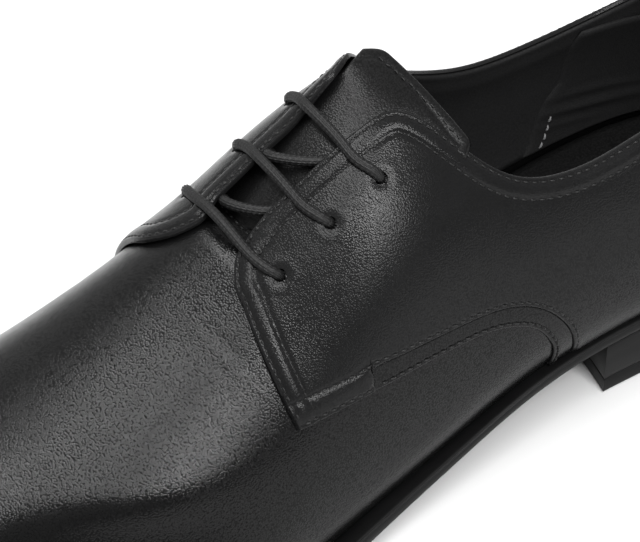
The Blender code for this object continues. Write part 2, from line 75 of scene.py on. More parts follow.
RIDGE = [  # station, distance to the medial side, height
    (0.030, 0.0000, 0.1100), (0.060, 0.0000, 0.1125), (0.080, 0.0000, 0.1145), (0.095, 0.0005, 0.1130),
    (0.110, 0.0010, 0.1068), (0.130, 0.0020, 0.0963), (0.150, 0.0030, 0.0857), (0.170, 0.0035, 0.0757),
    (0.190, 0.0035, 0.0668), (0.210, 0.0030, 0.0590), (0.230, 0.0022, 0.0525), (0.250, 0.0012, 0.0470),
    (0.266, 0.0005, 0.0430),
]
LAST = [  # station, swell past the feather, widest height, draw: lateral then medial of each
    (0.000, 0.0020, 0.0020, 0.0180, 0.0180, 1.80, 1.80), (0.020, 0.0026, 0.0026, 0.0180, 0.0180, 2.80, 3.30),
    (0.040, 0.0030, 0.0032, 0.0180, 0.0190, 3.30, 4.00), (0.078, 0.0038, 0.0055, 0.0180, 0.0220, 3.20, 3.80),
    (0.098, 0.0040, 0.0085, 0.0175, 0.0250, 2.60, 3.00), (0.112, 0.0040, 0.0100, 0.0170, 0.0260, 1.70, 1.85),
    (0.125, 0.0040, 0.0102, 0.0160, 0.0245, 1.15, 1.20), (0.160, 0.0030, 0.0065, 0.0140, 0.0185, 1.00, 1.00),
    (0.200, 0.0025, 0.0028, 0.0125, 0.0135, 0.95, 0.95), (0.250, 0.0025, 0.0025, 0.0120, 0.0120, 0.87, 0.87),
    (0.300, 0.0025, 0.0025, 0.0120, 0.0120, 0.83, 0.83),
]
FLANK_LATERAL = [  # station, how far the flank draws in, share of the rise that it takes up
    (0.170, 0.0000, 0.38), (0.190, 0.0015, 0.42), (0.205, 0.0036, 0.50), (0.221, 0.0054, 0.64),
    (0.236, 0.0058, 0.76), (0.255, 0.0046, 0.78), (0.280, 0.0020, 0.78), (0.300, 0.0000, 0.78),
]
FLANK_MEDIAL = [
    (0.170, 0.0000, 1.00), (0.190, 0.0016, 1.00), (0.205, 0.0024, 1.00), (0.221, 0.0026, 1.00),
    (0.236, 0.0024, 1.00), (0.255, 0.0018, 1.00), (0.280, 0.0008, 1.00), (0.300, 0.0000, 1.00),
]
TOPLINE = [  # station, lateral height, medial height
    (0.000, 0.0790, 0.0790), (0.020, 0.0750, 0.0662), (0.040, 0.0725, 0.0604), (0.060, 0.0714, 0.0600),
    (0.075, 0.0710, 0.0634), (0.088, 0.0731, 0.0711), (0.098, 0.0786, 0.0793), (0.106, 0.0884, 0.0876),
    (0.112, 0.0972, 0.0950), (0.118, 0.1050, 0.1020), (0.124, 0.1120, 0.1100),
]
QUARTER_EDGE = [  # station, height: lower edge of a quarter, from the sole up to its tab
    (0.0880, 0.0215), (0.0883, 0.0250), (0.0893, 0.0307), (0.0920, 0.0368), (0.0965, 0.0428),
    (0.1021, 0.0470), (0.1101, 0.0500), (0.1160, 0.0510), (0.1334, 0.0525), (0.1450, 0.0532),
]
STRIP_EDGE = [  # station, height: lower edge of a strip, from the sole up to the tab
    (0.0948, 0.0206), (0.0945, 0.0279), (0.0959, 0.0323), (0.0989, 0.0375), (0.1036, 0.0415),
    (0.1084, 0.0438), (0.1137, 0.0453), (0.1225, 0.0463), (0.1331, 0.0469), (0.1445, 0.0472),
]
TAB = [(0.1456, 0.0530), (0.1461, 0.0473)]  # station, height: the step down to a quarter's tab
QUARTER_CORNER = {"lateral": (0.1675, 0.0472), "medial": (0.1752, 0.0440)}
QUARTER_FOOT = 0.05  # level of a quarter's lower edge round the heel
BACK_SEAM = 0.0004  # share where a quarter ends at the heel's back
FRONT_ROUND = {  # side: station and level of the rounded top front corner of a quarter
    "lateral": [
        (0.1573, 1.858), (0.1608, 1.843), (0.1635, 1.819), (0.1647, 1.795), (0.1659, 1.772), (0.1666, 1.717),
    ],
    "medial": [
        (0.1628, 1.975), (0.1664, 1.955), (0.1694, 1.925), (0.1718, 1.885), (0.1734, 1.845), (0.1748, 1.790),
        (0.1752, 1.735),
    ],
}
FRONT_START = {"lateral": 0.150, "medial": 0.157}
FRONT_BULGE = {LATERAL: 0.0014, MEDIAL: 0.0003}

TONGUE = [  # station, middle's distance to the medial side, height, half width, crown, medial rise
    (0.1740, 0.0035, 0.0650, 0.0115, 0.0045, 0.0000), (0.1600, 0.0030, 0.0738, 0.0132, 0.0052, 0.0000),
    (0.1500, 0.0022, 0.0806, 0.0138, 0.0046, 0.0010), (0.1400, 0.0012, 0.0872, 0.0136, 0.0040, 0.0022),
    (0.1300, 0.0000, 0.0928, 0.0124, 0.0028, 0.0044), (0.1180, -0.0022, 0.0964, 0.0106, 0.0018, 0.0064),
    (0.1100, -0.0034, 0.0962, 0.0126, 0.0012, 0.0072), (0.1046, -0.0052, 0.0946, 0.0158, 0.0008, 0.0082),
]
TONGUE_ROUND = 0.0006  # how far the back edge is rounded, skewed and cut at its corners
TONGUE_SKEW = 0.0037
TONGUE_CORNER, TONGUE_CORNER_SPAN = 0.0042, (0.72, 1.0)
TONGUE_CORNER_CUT = 0.999  # under 1, so that the corner's slope stays finite
TONGUE_BEND, TONGUE_BEND_POWER = 0.1300, 1.6  # station from which these set in, and their growth
EYELETS = {  # station, reach from the ridge
    LATERAL: [(0.1565, 0.0218), (0.1415, 0.0206), (0.1268, 0.0192)],
    MEDIAL: [(0.1598, 0.0150), (0.1456, 0.0138), (0.1310, 0.0126)],
}
LACE_CROSSINGS = [  # station, distance to the medial side, height where a run shows between the facings
    [(0.1572, 0.0036, 0.0832), (0.1510, -0.0057, 0.0836)],
    [(0.1444, 0.0040, 0.0908), (0.1350, -0.0060, 0.0908)],
]

# Sizes of the dressing
HAIR = 0.0001  # smallest distance between two sheets
THIN_EDGE = 0.3  # share of the thickness left at the edge of lining and strips
QUARTER_THICK = {LATERAL: 0.0015, MEDIAL: 0.0014}
QUARTER_GAP = 0.0002
QUARTER_RIM, EDGE_WALL = 0.0011, 0.35  # width of the rounded rim, share of the thickness at the edge
ROW_INNER, ROW_OUTER, TAB_ROW = 0.0012, 0.0053, 0.0068  # distances of the stitched rows from the edges
PUFF = 0.00028  # swell of the leather between two rows
TROUGH, TROUGH_WIDTH = 0.00022, 0.00055
FLAP_LIFT, FLAP_WIDTH = 0.0004, 0.021  # how far the far facing stands off, and over which width
FLAP_BACK = (0.104, 0.114)  # stations over which its lift begins
FLAP_HEIGHTS = (0.052, 0.070)  # heights over which its lift begins
FLAP_END, FLAP_END_LIFT = (0.138, 0.121), 0.0030  # stations over which it rises to its back end
FLAP_TIP = (0.1745, 1.900)  # station and level of its front corner
FLAP_TIP_LIFT, FLAP_TIP_WIDTH = 0.0005, 0.013
STRIP_THICK, STRIP_RIM, STRIP_SUNK = 0.0009, 0.0008, 0.0002
STRIP_SPAN = 1.25  # share of its visible width that a strip has with the part under the quarter
STRIP_THINNING, STRIP_THIN_AT = 0.6, (0.95, 1.1)  # loss of thickness under the quarter, and where
STRIP_TROUGH = TROUGH / 2
STRIP_TAIL = [(0.1490, 0.0476), (0.1494, 0.0533)]  # station, height: both edges' ends under the tab
STITCH_PITCH, STITCH_LENGTH = 0.00245, 0.00175
STITCH_START = 0.3 * STITCH_PITCH
THREAD, NEEDLE = 0.00030, 0.00036  # half widths of a thread and of a needle hole
LACE_RADIUS, BRAID_PITCH = 0.00132, 0.0013
HOLE_RADIUS, PUNCH_LENGTH = 0.00165, 0.012
SHARP_HOLE = np.radians(50)
DIMPLE, DIMPLE_WIDTH = 0.00028, 0.0024  # dip of the leather to a lace hole, and the low ring round it
HOLE_RING, HOLE_RING_RADIUS, HOLE_RING_WIDTH = 0.00010, 0.0032, 0.0011
TONGUE_THICK, TONGUE_UNDER = 0.0012, 0.0011  # over and under the middle sheet
TONGUE_RIM, TONGUE_EDGE = 0.0011, 0.25
TONGUE_ROW, TONGUE_TROUGH, TONGUE_TROUGH_WIDTH = 0.0031, 0.00035, 0.0007
VAMP_THICK = 0.0010
VAMP_REACH = 0.0130  # distance of the vamp's edge from the ridge, behind the throat
VAMP_OPEN_LEVEL = 1.95
COLLAR_END, VAMP_UNDER_COLLAR = 0.118, 0.07  # station, and levels by which the vamp stays below the collar
VAMP_DIP = 0.0068
DIP_STATIONS, DIP_REACH = (0.166, 0.150), (0.003, 0.021)  # where the dip sets in, and where it runs out
THROAT_START, THROAT_ROUND = 0.1490, 0.006
THROAT_ROWS, THROAT_ROW_REACH, THROAT_ROW_TOP = (0.0014, 0.0034), 0.0105, 1.995
LINING_THICK, LINING_RIM = 0.0010, 0.0012
LINING_FOOT, LINING_FRONT = 0.1, 0.158  # level of the lining's lower edge, station of its front edge
LINING_SET_BACK, LINING_UNDER_EDGE = 0.0045, 0.006  # from the facing's edge, and in levels below it
LINING_TURN = 0.006  # width over which the lining comes out from behind the vamp to the edge
SAME_POINT = 1e-6
SMALLEST = 1e-12


def spline(knots, values, at):
    """Natural cubic through the knots, read at any places between the first and last."""
    knots = np.asarray(knots, float)
    values = np.asarray(values, float)
    at = np.clip(np.asarray(at, float), knots[0], knots[-1])
    step = np.diff(knots)
    slope = np.diff(values) / step
    matrix = np.eye(len(knots))
    bend = np.zeros(len(knots))
    for i in range(1, len(knots) - 1):
        matrix[i, i - 1:i + 2] = step[i - 1], 2 * (step[i - 1] + step[i]), step[i]
        bend[i] = 6 * (slope[i] - slope[i - 1])
    bend = np.linalg.solve(matrix, bend)
    i = np.clip(np.searchsorted(knots, at) - 1, 0, len(step) - 1)
    before = at - knots[i]
    after = knots[i + 1] - at
    curved = (bend[i] * after**3 + bend[i + 1] * before**3) / (6 * step[i])
    low = (values[i] / step[i] - bend[i] * step[i] / 6) * after
    high = (values[i + 1] / step[i] - bend[i + 1] * step[i] / 6) * before
    return curved + low + high


def column(table, index, station):
    """One column of a table, as a smooth function of the station."""
    rows = np.array(table)
    order = np.argsort(rows[:, 0])
    return spline(rows[order, 0], rows[order, index], station)


def smooth(low, high, at):
    """Smooth step from 0 at low to 1 at high."""
    share = np.clip((np.asarray(at, float) - low) / (high - low), 0, 1)
    return share * share * (3 - 2 * share)


def unit(vectors):
    """Vectors scaled to length 1."""
    return vectors / np.maximum(np.linalg.norm(vectors, axis=-1, keepdims=True), SMALLEST)


def hump(distance, width):
    """Bell of height 1 round distance 0."""
    return np.exp(-((distance / width) ** 2))


def arch(share):
    """Arch from 0 to 1 and back to 0, over shares from 0 to 1."""
    return 4 * share * (1 - share)


def thinned(edge, width, least):
    """Share of a sheet's thickness at a distance from its edge, rounded over a width down to the least."""
    return least + (1 - least) * np.sqrt(1 - (1 - np.clip(edge / width, 0, 1)) ** 2)


def graded(count, power):
    """Shares from 0 to 1 that lie closer together at both ends."""
    share = np.linspace(0, 1, count)
    return (1 - power) * share + power * (0.5 - 0.5 * np.cos(np.pi * share))


def raised(points, normal, height):
    """Points moved along their normals."""
    return points + normal * height[..., None]


def run_along(path):
    """Distance of each point from the start, along a path."""
    return np.concatenate([[0], np.cumsum(np.linalg.norm(np.diff(path, axis=0), axis=1))])


def read(path, run, at):
    """Rows of a path, read at places between the values of its run."""
    return np.stack([np.interp(at, run, values) for values in path.T], -1)


def pairs(share, level):
    """Path of shares and levels."""
    return np.stack(np.broadcast_arrays(share, level), -1)


def turn(station):
    """Share of the way round one side, 0 at the heel and 1 at the toe, even round the ends."""
    return np.arccos(np.clip(1 - 2 * np.asarray(station, float) / LENGTH, -1, 1)) / np.pi


def station_at(share):
    """Station at a share of the way round one side."""
    return LENGTH * (1 - np.cos(np.pi * np.asarray(share, float))) / 2


def outline(side, share):
    """Sole outline of one side: station and distance to the medial side."""
    rows = np.array(OUTLINE)
    width = spline(turn(rows[:, 0]), rows[:, 1 if side == LATERAL else 2], share)
    return station_at(share), side * width


def inset_outline(side, share, inset):
    """Sole outline moved inwards, square to itself."""
    small = 1e-4
    u, y = outline(side, share)
    u_after, y_after = outline(side, np.minimum(share + small, 1))
    u_before, y_before = outline(side, np.maximum(share - small, 0))
    du = u_after - u_before
    dy = y_after - y_before
    size = np.hypot(du, dy)
    return u + side * inset * dy / size, y - side * inset * du / size


def place(station, y, z):
    """Points of the part's frame."""
    x = LENGTH / 2 - np.asarray(station, float)
    return np.stack(np.broadcast_arrays(x, y, z), -1)


def sole_bottom(station):
    """Height of the sole's underside."""
    return np.maximum(column(SOLE, 1, station), 0)


def sole_top(station):
    """Height of the sole's upper side."""
    return sole_bottom(station) + column(SOLE, 2, station)


def ridge_station(station):
    """Station on the ridge where the wall line of a sole station ends."""
    front = np.where(station > TOE_FAN, TOE_FAN + (station - TOE_FAN) * TOE_FAN_RATE, station)
    return np.where(station < HEEL_FAN, HEEL_FAN - (HEEL_FAN - station) * HEEL_FAN_RATE, front)


def toe_slope(station):
    """Slope of the ridge where the toe's wall lines leave it."""
    middle = np.clip(station, TOE_FAN, RIDGE[-1][0] - RIDGE_STEP)
    rise = column(RIDGE, 2, middle + RIDGE_STEP) - column(RIDGE, 2, middle - RIDGE_STEP)
    return np.where(station > TOE_FAN, rise / (2 * RIDGE_STEP), 0)


def flank(side, share, level, across):
    """Share of a wall line's plan width that the sloped flank of the toe takes off it."""
    rows = FLANK_LATERAL if side == LATERAL else FLANK_MEDIAL
    station = np.maximum(station_at(share), rows[0][0])
    part = np.clip((level - 1) / column(rows, 2, station), 0, 1)
    return column(rows, 1, station) / across * np.sin(np.pi * part) ** 2


def wall_line(side, share):
    """Feather point, widest point, ridge point and draw of a wall line."""
    station = station_at(share)
    inset = column(SOLE, 3, station)
    swell, widest, draw = (column(LAST, first + (side == MEDIAL), station) for first in (1, 3, 5))
    feather_u, feather_y = inset_outline(side, share, inset)
    wide_u, wide_y = inset_outline(side, share, inset - swell)
    feather_z = sole_top(feather_u) + GAP
    ridge_u = ridge_station(station)
    ridge_y = column(RIDGE, 1, ridge_u)
    ridge_z = column(RIDGE, 2, ridge_u)
    feather = (feather_u, feather_y, feather_z)
    return feather, (wide_u, wide_y, feather_z + widest), (ridge_u, ridge_y, ridge_z), draw


def wall(side, share, level):
    """Outer surface of the upper."""
    share, level = np.broadcast_arrays(np.asarray(share, float), np.asarray(level, float))
    feather, wide, ridge, draw = wall_line(side, share)
    out = 1 - (1 - np.clip(level, 0, 1)) ** TUCK_POWER
    angle = np.clip(level - 1, 0, 1) * np.pi / 2
    across = np.hypot(wide[0] - ridge[0], wide[1] - ridge[1])
    width = np.cos(angle) ** draw - flank(side, share, level, across)
    low = level <= 1
    u = np.where(low, feather[0] + (wide[0] - feather[0]) * out, ridge[0] + (wide[0] - ridge[0]) * width)
    y = np.where(low, feather[1] + (wide[1] - feather[1]) * out, ridge[1] + (wide[1] - ridge[1]) * width)
    low_z = feather[2] + (wide[2] - feather[2]) * np.clip(level, 0, 1)
    high_z = wide[2] + (ridge[2] - wide[2]) * np.sin(angle)
    high_z = high_z + toe_slope(ridge[0]) * (wide[0] - ridge[0]) * width * (1 - width)
    return place(u, y, np.where(low, low_z, high_z))


def wall_normal(side, share, level):
    """Outward direction of the upper's outer surface."""
    small = 2e-3
    share = np.asarray(share, float)
    level = np.asarray(level, float)
    ahead = wall(side, np.minimum(share + small, 1), level)
    along = ahead - wall(side, np.maximum(share - small, 0), level)
    above = wall(side, share, np.minimum(level + small, RIDGE_LEVEL))
    up = above - wall(side, share, np.maximum(level - small, 0))
    return unit(-side * np.cross(up, along))


def skin(side, share, level):
    """Points on the upper's outer surface and the directions off it."""
    return wall(side, share, level), wall_normal(side, share, level)


def level_at_height(side, share, height):
    """Level of a wall line at a height."""
    feather, wide, ridge, _ = wall_line(side, share)
    low = (height - feather[2]) / (wide[2] - feather[2])
    high = np.clip((height - wide[2]) / (ridge[2] - wide[2]), 0, 1)
    return np.where(low <= 1, np.maximum(low, 0), 1 + np.arcsin(high) * 2 / np.pi)


def level_at_reach(side, share, reach):
    """Level of a wall line at a plan distance from the ridge."""
    _, wide, ridge, draw = wall_line(side, share)
    width = np.clip(reach / np.hypot(wide[0] - ridge[0], wide[1] - ridge[1]), 0, 1)
    return 1 + np.arccos(width ** (1 / draw)) * 2 / np.pi


def climb(level):
    """Level turned into a share of the rise, even below and above the widest height."""
    return np.where(level < 1, level / LEVEL_PACE, level - 1 + 1 / LEVEL_PACE)


def level_of(climbed):
    """Level at a share of the rise."""
    return np.where(climbed < 1 / LEVEL_PACE, climbed * LEVEL_PACE, climbed + 1 - 1 / LEVEL_PACE)


def soft_least(a, b):
    """The lower of two levels, with a rounded change from one to the other."""
    least = np.minimum(a, b)
    return least - CORNER_SOFTNESS * np.log(
        np.exp(-(a - least) / CORNER_SOFTNESS) + np.exp(-(b - least) / CORNER_SOFTNESS)
    )


def edge_level(side, share, reach=None, throat=None):
    """Level of the collar's topline and of the facing's edge, closed off by a throat."""
    station = station_at(share)
    reach = FACING_REACH[side] if reach is None else reach
    collar = level_at_height(side, share, column(TOPLINE, 1 if side == LATERAL else 2, station))
    if throat is not None:
        reach = reach * np.sqrt(1 - np.clip((station - throat[0]) / throat[1], 0, 1) ** 2)
    level = soft_least(collar, level_at_reach(side, share, reach))
    return level if throat is None else np.where(station >= throat[0] + throat[1], RIDGE_LEVEL, level)


def rounded_edge(side, share, reach=None):
    """Edge level averaged over a short stretch, which rounds the corner from collar to facing."""
    steps = np.linspace(-2, 2, 13)
    weights = np.exp(-(steps**2) / 2)
    station = station_at(share)
    parts = [edge_level(side, turn(np.maximum(station + CORNER_SPREAD * s, 0)), reach) for s in steps]
    return sum(w * part for w, part in zip(weights, parts)) / weights.sum()


def even_path(rows, count):
    """Rows resampled evenly along the smooth curve through them."""
    rows = np.asarray(rows, float)
    run = run_along(rows)
    at = np.linspace(0, run[-1], count)
    return np.stack([spline(run, values, at) for values in rows.T], -1)


def side_path(side, rows):
    """Rows of station and height as shares and levels of one side."""
    rows = np.asarray(rows, float)
    share = turn(rows[:, 0])
    return pairs(share, level_at_height(side, share, rows[:, 1]))


def nearest(points, edge):
    """Distance of each point to the closest of the edge's points."""
    flat = points.reshape(-1, 3)
    least = np.empty(len(flat))
    square = (edge**2).sum(1)
    batch = 4000
    for start in range(0, len(flat), batch):
        part = flat[start:start + batch]
        gaps = (part**2).sum(1)[:, None] + square[None] - 2 * part @ edge.T
        least[start:start + batch] = np.sqrt(np.maximum(gaps.min(1), 0))
    return least.reshape(points.shape[:-1])


def grid_normals(points):
    """Unit normals of a grid of points."""
    return unit(np.cross(np.gradient(points, axis=1), np.gradient(points, axis=0)))


def dense(path, count):
    """A path read at more places, evenly by row."""
    return read(path, np.arange(len(path)), np.linspace(0, len(path) - 1, count))


def inward(side, path, distance, turn_to):
    """A path of shares and levels moved square to itself along the surface."""
    small = 1e-3
    share, level = path.T
    here = wall(side, share, level)
    along = unit(np.gradient(here, axis=0))
    to = turn_to * np.cross(wall_normal(side, share, level), along) * np.reshape(distance, (-1, 1))
    by_share = (wall(side, share + small, level) - wall(side, share - small, level)) / (2 * small)
    step = np.where(level < 1, -small, small)
    by_level = (wall(side, share, level + step) - here) / step[:, None]
    a = (by_share**2).sum(1)
    b = (by_share * by_level).sum(1)
    c = (by_level**2).sum(1)
    p = (by_share * to).sum(1)
    q = (by_level * to).sum(1)
    size = a * c - b * b
    moved = level + (a * q - b * p) / size
    moved = np.where((level < 1) & (moved > 1), 1 + (moved - 1) / LEVEL_PACE, moved)
    moved = np.where((level > 1) & (moved < 1), 1 + (moved - 1) * LEVEL_PACE, moved)
    return np.stack([share + (c * p - b * q) / size, moved], -1)


def linked(name, data):
    """New object in the scene."""
    made = bpy.data.objects.new(name, data)
    bpy.context.scene.collection.objects.link(made)
    return made


def new_object(name, points, faces, material, closed=True):
    """Smooth mesh piece that rides on the shoe."""
    mesh = bpy.data.meshes.new(name)
    mesh.from_pydata(np.asarray(points, float).reshape(-1, 3).tolist(), [], faces)
    work = bmesh.new()
    work.from_mesh(mesh)
    bmesh.ops.remove_doubles(work, verts=work.verts, dist=SAME_POINT)
    bmesh.ops.dissolve_degenerate(work, edges=work.edges, dist=SAME_POINT)
    if closed:
        bmesh.ops.recalc_face_normals(work, faces=work.faces)
    work.to_mesh(mesh)
    work.free()
    mesh.shade_smooth()
    mesh.materials.append(material)
    piece = linked(name, mesh)
    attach(piece, "root")
    return piece


def grid_faces(rows, columns, start=0, flip=False):
    """Quads of a grid of points, row by row."""
    a = (np.arange(rows - 1)[:, None] * columns + np.arange(columns - 1)[None]).ravel() + start
    quads = np.stack([a, a + 1, a + columns + 1, a + columns], -1)
    return (quads[:, ::-1] if flip else quads).tolist()


def ring_faces(rings, count, start=0):
    """Quads between stacked rings of points."""
    low = start + count * np.arange(rings - 1)[:, None]
    here = np.arange(count)
    after = (here + 1) % count
    quads = np.stack([low + here, low + after, low + count + after, low + count + here], -1)
    return quads.reshape(-1, 4).tolist()


def end_faces(rings, count, start=0):
    """Flat faces over the first and the last of stacked rings."""
    last = start + (rings - 1) * count
    return [tuple(range(start + count - 1, start - 1, -1)), tuple(range(last, last + count))]


def shell(name, outer, inner, material):
    """Closed piece between two grids of the same shape."""
    rows, columns = outer.shape[:2]
    count = rows * columns
    faces = grid_faces(rows, columns) + grid_faces(rows, columns, count, True)
    index = np.arange(count).reshape(rows, columns)
    ring = np.concatenate([index[0, :-1], index[:-1, -1], index[-1, :0:-1], index[:0:-1, 0]])
    after = np.roll(ring, -1)
    faces += np.stack([after, ring, ring + count, after + count], -1).tolist()
    return new_object(name, np.concatenate([outer.reshape(-1, 3), inner.reshape(-1, 3)]), faces, material)


def ring_solid(name, rings, material, lids=()):
    """Closed piece through stacked rings. Its ends are grids of points, or flat where there are none."""
    count = len(rings[0])
    points = [*rings]
    faces = ring_faces(len(rings), count)
    if not lids:
        faces += end_faces(len(rings), count)
    start = len(rings) * count
    for lid in lids:
        faces += grid_faces(*lid.shape[:2], start=start)
        points.append(lid.reshape(-1, 3))
        start += lid.shape[0] * lid.shape[1]
    return new_object(name, np.concatenate(points), faces, material)


# Materials
LEATHER_SPECULAR = 0.18
GROUND_SPECULAR = 0.12
THREAD_SPECULAR = 0.30
LEATHER_SPREAD = np.array((-0.05, 0.06))  # how far the roughness goes below and above its middle
THREAD_SPREAD = np.array((-0.08, 0.10))
GROUND_SPREAD = np.array((-0.06, 0.08))
NOISE_RANGE = (0.3, 0.7)  # values of a noise that a ramp takes up
TWIST_RANGE = (0.2, 0.8)
GLOSS_SCALE = 90
WAVE_SCALE, WAVE_STRENGTH, WAVE_DEPTH = 140, 0.08, 0.0004
PEBBLE_STRENGTH = 0.5
PEBBLE_RANGE = (0.15, 0.75)
PEBBLE_GLOSS = np.array((1.25, 0.55))  # share of the specular level on the pebbles and between them
PORE_SCALE, PORE_STRENGTH, PORE_DEPTH = 1.5, 0.25, 0.3  # scale and depth as shares of the pebbles'
WRINKLE_SCALE, WRINKLE_DEPTH = 620, 0.00035
WRINKLE_STRETCH, WRINKLE_TURN = (0.35, 1.0, 1.3), (0.3, -0.25, 0.2)
STRAND_SCALE, STRAND_STRENGTH, TWIST_STRENGTH = 1.6, 0.5, 0.3  # scale as a share of the twist's
STRAND_DEPTH = 0.0001
CLOUD_SCALE = 60
BRUSH_STRETCH, BRUSH_STRENGTH = (0.15, 0.15, 1.0), 0.4
MIX_FACTOR, MIX_DARK, MIX_LIGHT, MIX_RESULT = 0, 6, 7, 2  # colour sockets of a mix node


def grey(value):
    """A nearly neutral grey."""
    return (value, value, value * 1.02, 1)


def set_inputs(node, values):
    """Constants on a node's sockets, by the sockets' names or numbers."""
    for key, value in values.items():
        node.inputs[key].default_value = value


def new_shader(name):
    """New material, with its tree and its principled shader."""
    material = bpy.data.materials.new(name)
    material.use_nodes = True
    return material, material.node_tree, material.node_tree.nodes["Principled BSDF"]


def node_material(name, light, roughness, specular, build, sheen=0.0):
    """Principled material whose bump and roughness come from its nodes."""
    material, tree, shader = new_shader(name)
    values = {"Base Color": grey(light), "Roughness": roughness, "Specular IOR Level": specular}
    set_inputs(shader, {**values, "Sheen Weight": sheen})
    build(tree, shader, tree.nodes.new("ShaderNodeTexCoord").outputs["Object"])
    return material


def texture(tree, kind, where, scale, **settings):
    """Texture node of a kind, at a scale, with its other values."""
    node = tree.nodes.new("ShaderNodeTex" + kind)
    tree.links.new(where, node.inputs["Vector"])
    node.inputs["Scale"].default_value = scale
    for key, value in settings.items():
        if key in node.inputs:
            node.inputs[key].default_value = value
        else:
            setattr(node, key, value)
    return node


def stretched(tree, where, scale, angle=(0, 0, 0)):
    """Coordinates stretched by a scale for each axis and turned."""
    node = tree.nodes.new("ShaderNodeMapping")
    set_inputs(node, {"Scale": scale, "Rotation": angle})
    tree.links.new(where, node.inputs["Vector"])
    return node.outputs["Vector"]


def ramp(tree, value, from_range, to_range, target):
    """Value mapped from one range to another and linked to a socket."""
    node = tree.nodes.new("ShaderNodeMapRange")
    set_inputs(node, dict(zip(("From Min", "From Max", "To Min", "To Max"), (*from_range, *to_range))))
    tree.links.new(value, node.inputs["Value"])
    tree.links.new(node.outputs["Result"], target)


def bumps(tree, shader, layers):
    """Bump layers, each a height value, strength and depth, one over another."""
    last = None
    for height, strength, depth in layers:
        node = tree.nodes.new("ShaderNodeBump")
        set_inputs(node, {"Strength": strength, "Distance": depth})
        tree.links.new(height, node.inputs["Height"])
        if last is not None:
            tree.links.new(last, node.inputs["Normal"])
        last = node.outputs["Normal"]
    tree.links.new(last, shader.inputs["Normal"])


def tint(tree, shader, value, dark, light):
    """Base colour between two greys."""
    node = tree.nodes.new("ShaderNodeMix")
    node.data_type = "RGBA"
    set_inputs(node, {MIX_DARK: grey(dark), MIX_LIGHT: grey(light)})
    tree.links.new(value, node.inputs[MIX_FACTOR])
    tree.links.new(node.outputs[MIX_RESULT], shader.inputs["Base Color"])


def leather(name, dark, light, roughness, grain, depth, wrinkle=0.0, specular=LEATHER_SPECULAR):
    """Black leather: small pebbles, pores, soft waves and uneven gloss."""

    def build(tree, shader, where):
        drift = texture(tree, "Noise", where, GLOSS_SCALE, Detail=3.0)
        pebble = texture(tree, "Voronoi", where, grain, feature="SMOOTH_F1", Smoothness=0.35)
        pores = texture(tree, "Noise", where, grain * PORE_SCALE, Detail=2.0, Roughness=0.5)
        wave = texture(tree, "Noise", where, WAVE_SCALE, Detail=2.0)
        layers = [
            (wave.outputs["Fac"], WAVE_STRENGTH, WAVE_DEPTH),
            (pebble.outputs["Distance"], PEBBLE_STRENGTH, -depth),
        ]
        if wrinkle:
            lines = stretched(tree, where, WRINKLE_STRETCH, WRINKLE_TURN)
            wrinkles = texture(tree, "Noise", lines, WRINKLE_SCALE, Detail=3.0, Distortion=0.6)
            layers.append((wrinkles.outputs["Fac"], wrinkle, WRINKLE_DEPTH))
        layers.append((pores.outputs["Fac"], PORE_STRENGTH, depth * PORE_DEPTH))
        bumps(tree, shader, layers)
        gloss = roughness + LEATHER_SPREAD
        ramp(tree, drift.outputs["Fac"], NOISE_RANGE, gloss, shader.inputs["Roughness"])
        shine = specular * PEBBLE_GLOSS
        ramp(tree, pebble.outputs["Distance"], PEBBLE_RANGE, shine, shader.inputs["Specular IOR Level"])
        tint(tree, shader, pores.outputs["Fac"], dark, light)

    return node_material(name, light, roughness, specular, build)


def woven(name, dark, light, roughness, scale, sheen=0.0):
    """Waxed thread or braid."""

    def build(tree, shader, where):
        twist = texture(tree, "Noise", where, scale, Detail=3.0)
        strand = texture(tree, "Voronoi", where, scale * STRAND_SCALE)
        strands = (strand.outputs["Distance"], STRAND_STRENGTH, -STRAND_DEPTH)
        bumps(tree, shader, [strands, (twist.outputs["Fac"], TWIST_STRENGTH, STRAND_DEPTH)])
        tint(tree, shader, twist.outputs["Fac"], dark, light)
        gloss = roughness + THREAD_SPREAD
        ramp(tree, twist.outputs["Fac"], TWIST_RANGE, gloss, shader.inputs["Roughness"])

    return node_material(name, light, roughness, THREAD_SPECULAR, build, sheen)


def ground(name, dark, light, roughness, scale, depth):
    """Sole leather and rubber, finely brushed along the edge."""

    def build(tree, shader, where):
        lines = stretched(tree, where, BRUSH_STRETCH)
        brushed = texture(tree, "Noise", lines, scale, Detail=4.0, Roughness=0.6)
        cloud = texture(tree, "Noise", where, CLOUD_SCALE, Detail=2.0)
        bumps(tree, shader, [(brushed.outputs["Fac"], BRUSH_STRENGTH, depth)])
        tint(tree, shader, brushed.outputs["Fac"], dark, light)
        gloss = roughness + GROUND_SPREAD
        ramp(tree, cloud.outputs["Fac"], NOISE_RANGE, gloss, shader.inputs["Roughness"])

    return node_material(name, light, roughness, GROUND_SPECULAR, build)


VAMP = leather("vamp_leather", 0.0022, 0.0042, roughness=0.18, grain=2250, depth=0.00012, wrinkle=0.03)
QUARTER = leather("quarter_leather", 0.005, 0.0085, roughness=0.19, grain=2350, depth=0.00009, specular=0.13)
BAND = leather("strip_leather", 0.0035, 0.0060, roughness=0.22, grain=2350, depth=0.00007, specular=0.15)
TONGUE_TOP = leather("tongue_leather", 0.0024, 0.0046, roughness=0.3, grain=2300, depth=0.0001, wrinkle=0.03)
LINING = leather("lining_leather", 0.008, 0.013, roughness=0.66, grain=1800, depth=0.00012)
GRIP = leather("heel_grip_suede", 0.006, 0.011, roughness=0.85, grain=2600, depth=0.00010)
# The sock's nearly black colour is its own dark leather plus painted shade for the shade inside the shoe.
PAINTED_SHADE_SOCK = leather("sock_leather_painted_shade", 0.0012, 0.0025, roughness=0.75, grain=1700, depth=0.00012)
THREADS = woven("thread", 0.0014, 0.0040, roughness=0.40, scale=2600)
# Nearly black dots between the stitches: painted shade inside the needle holes.
NEEDLE_SHADE = woven("needle_hole_shade", 0.001, 0.002, roughness=0.9, scale=2600)
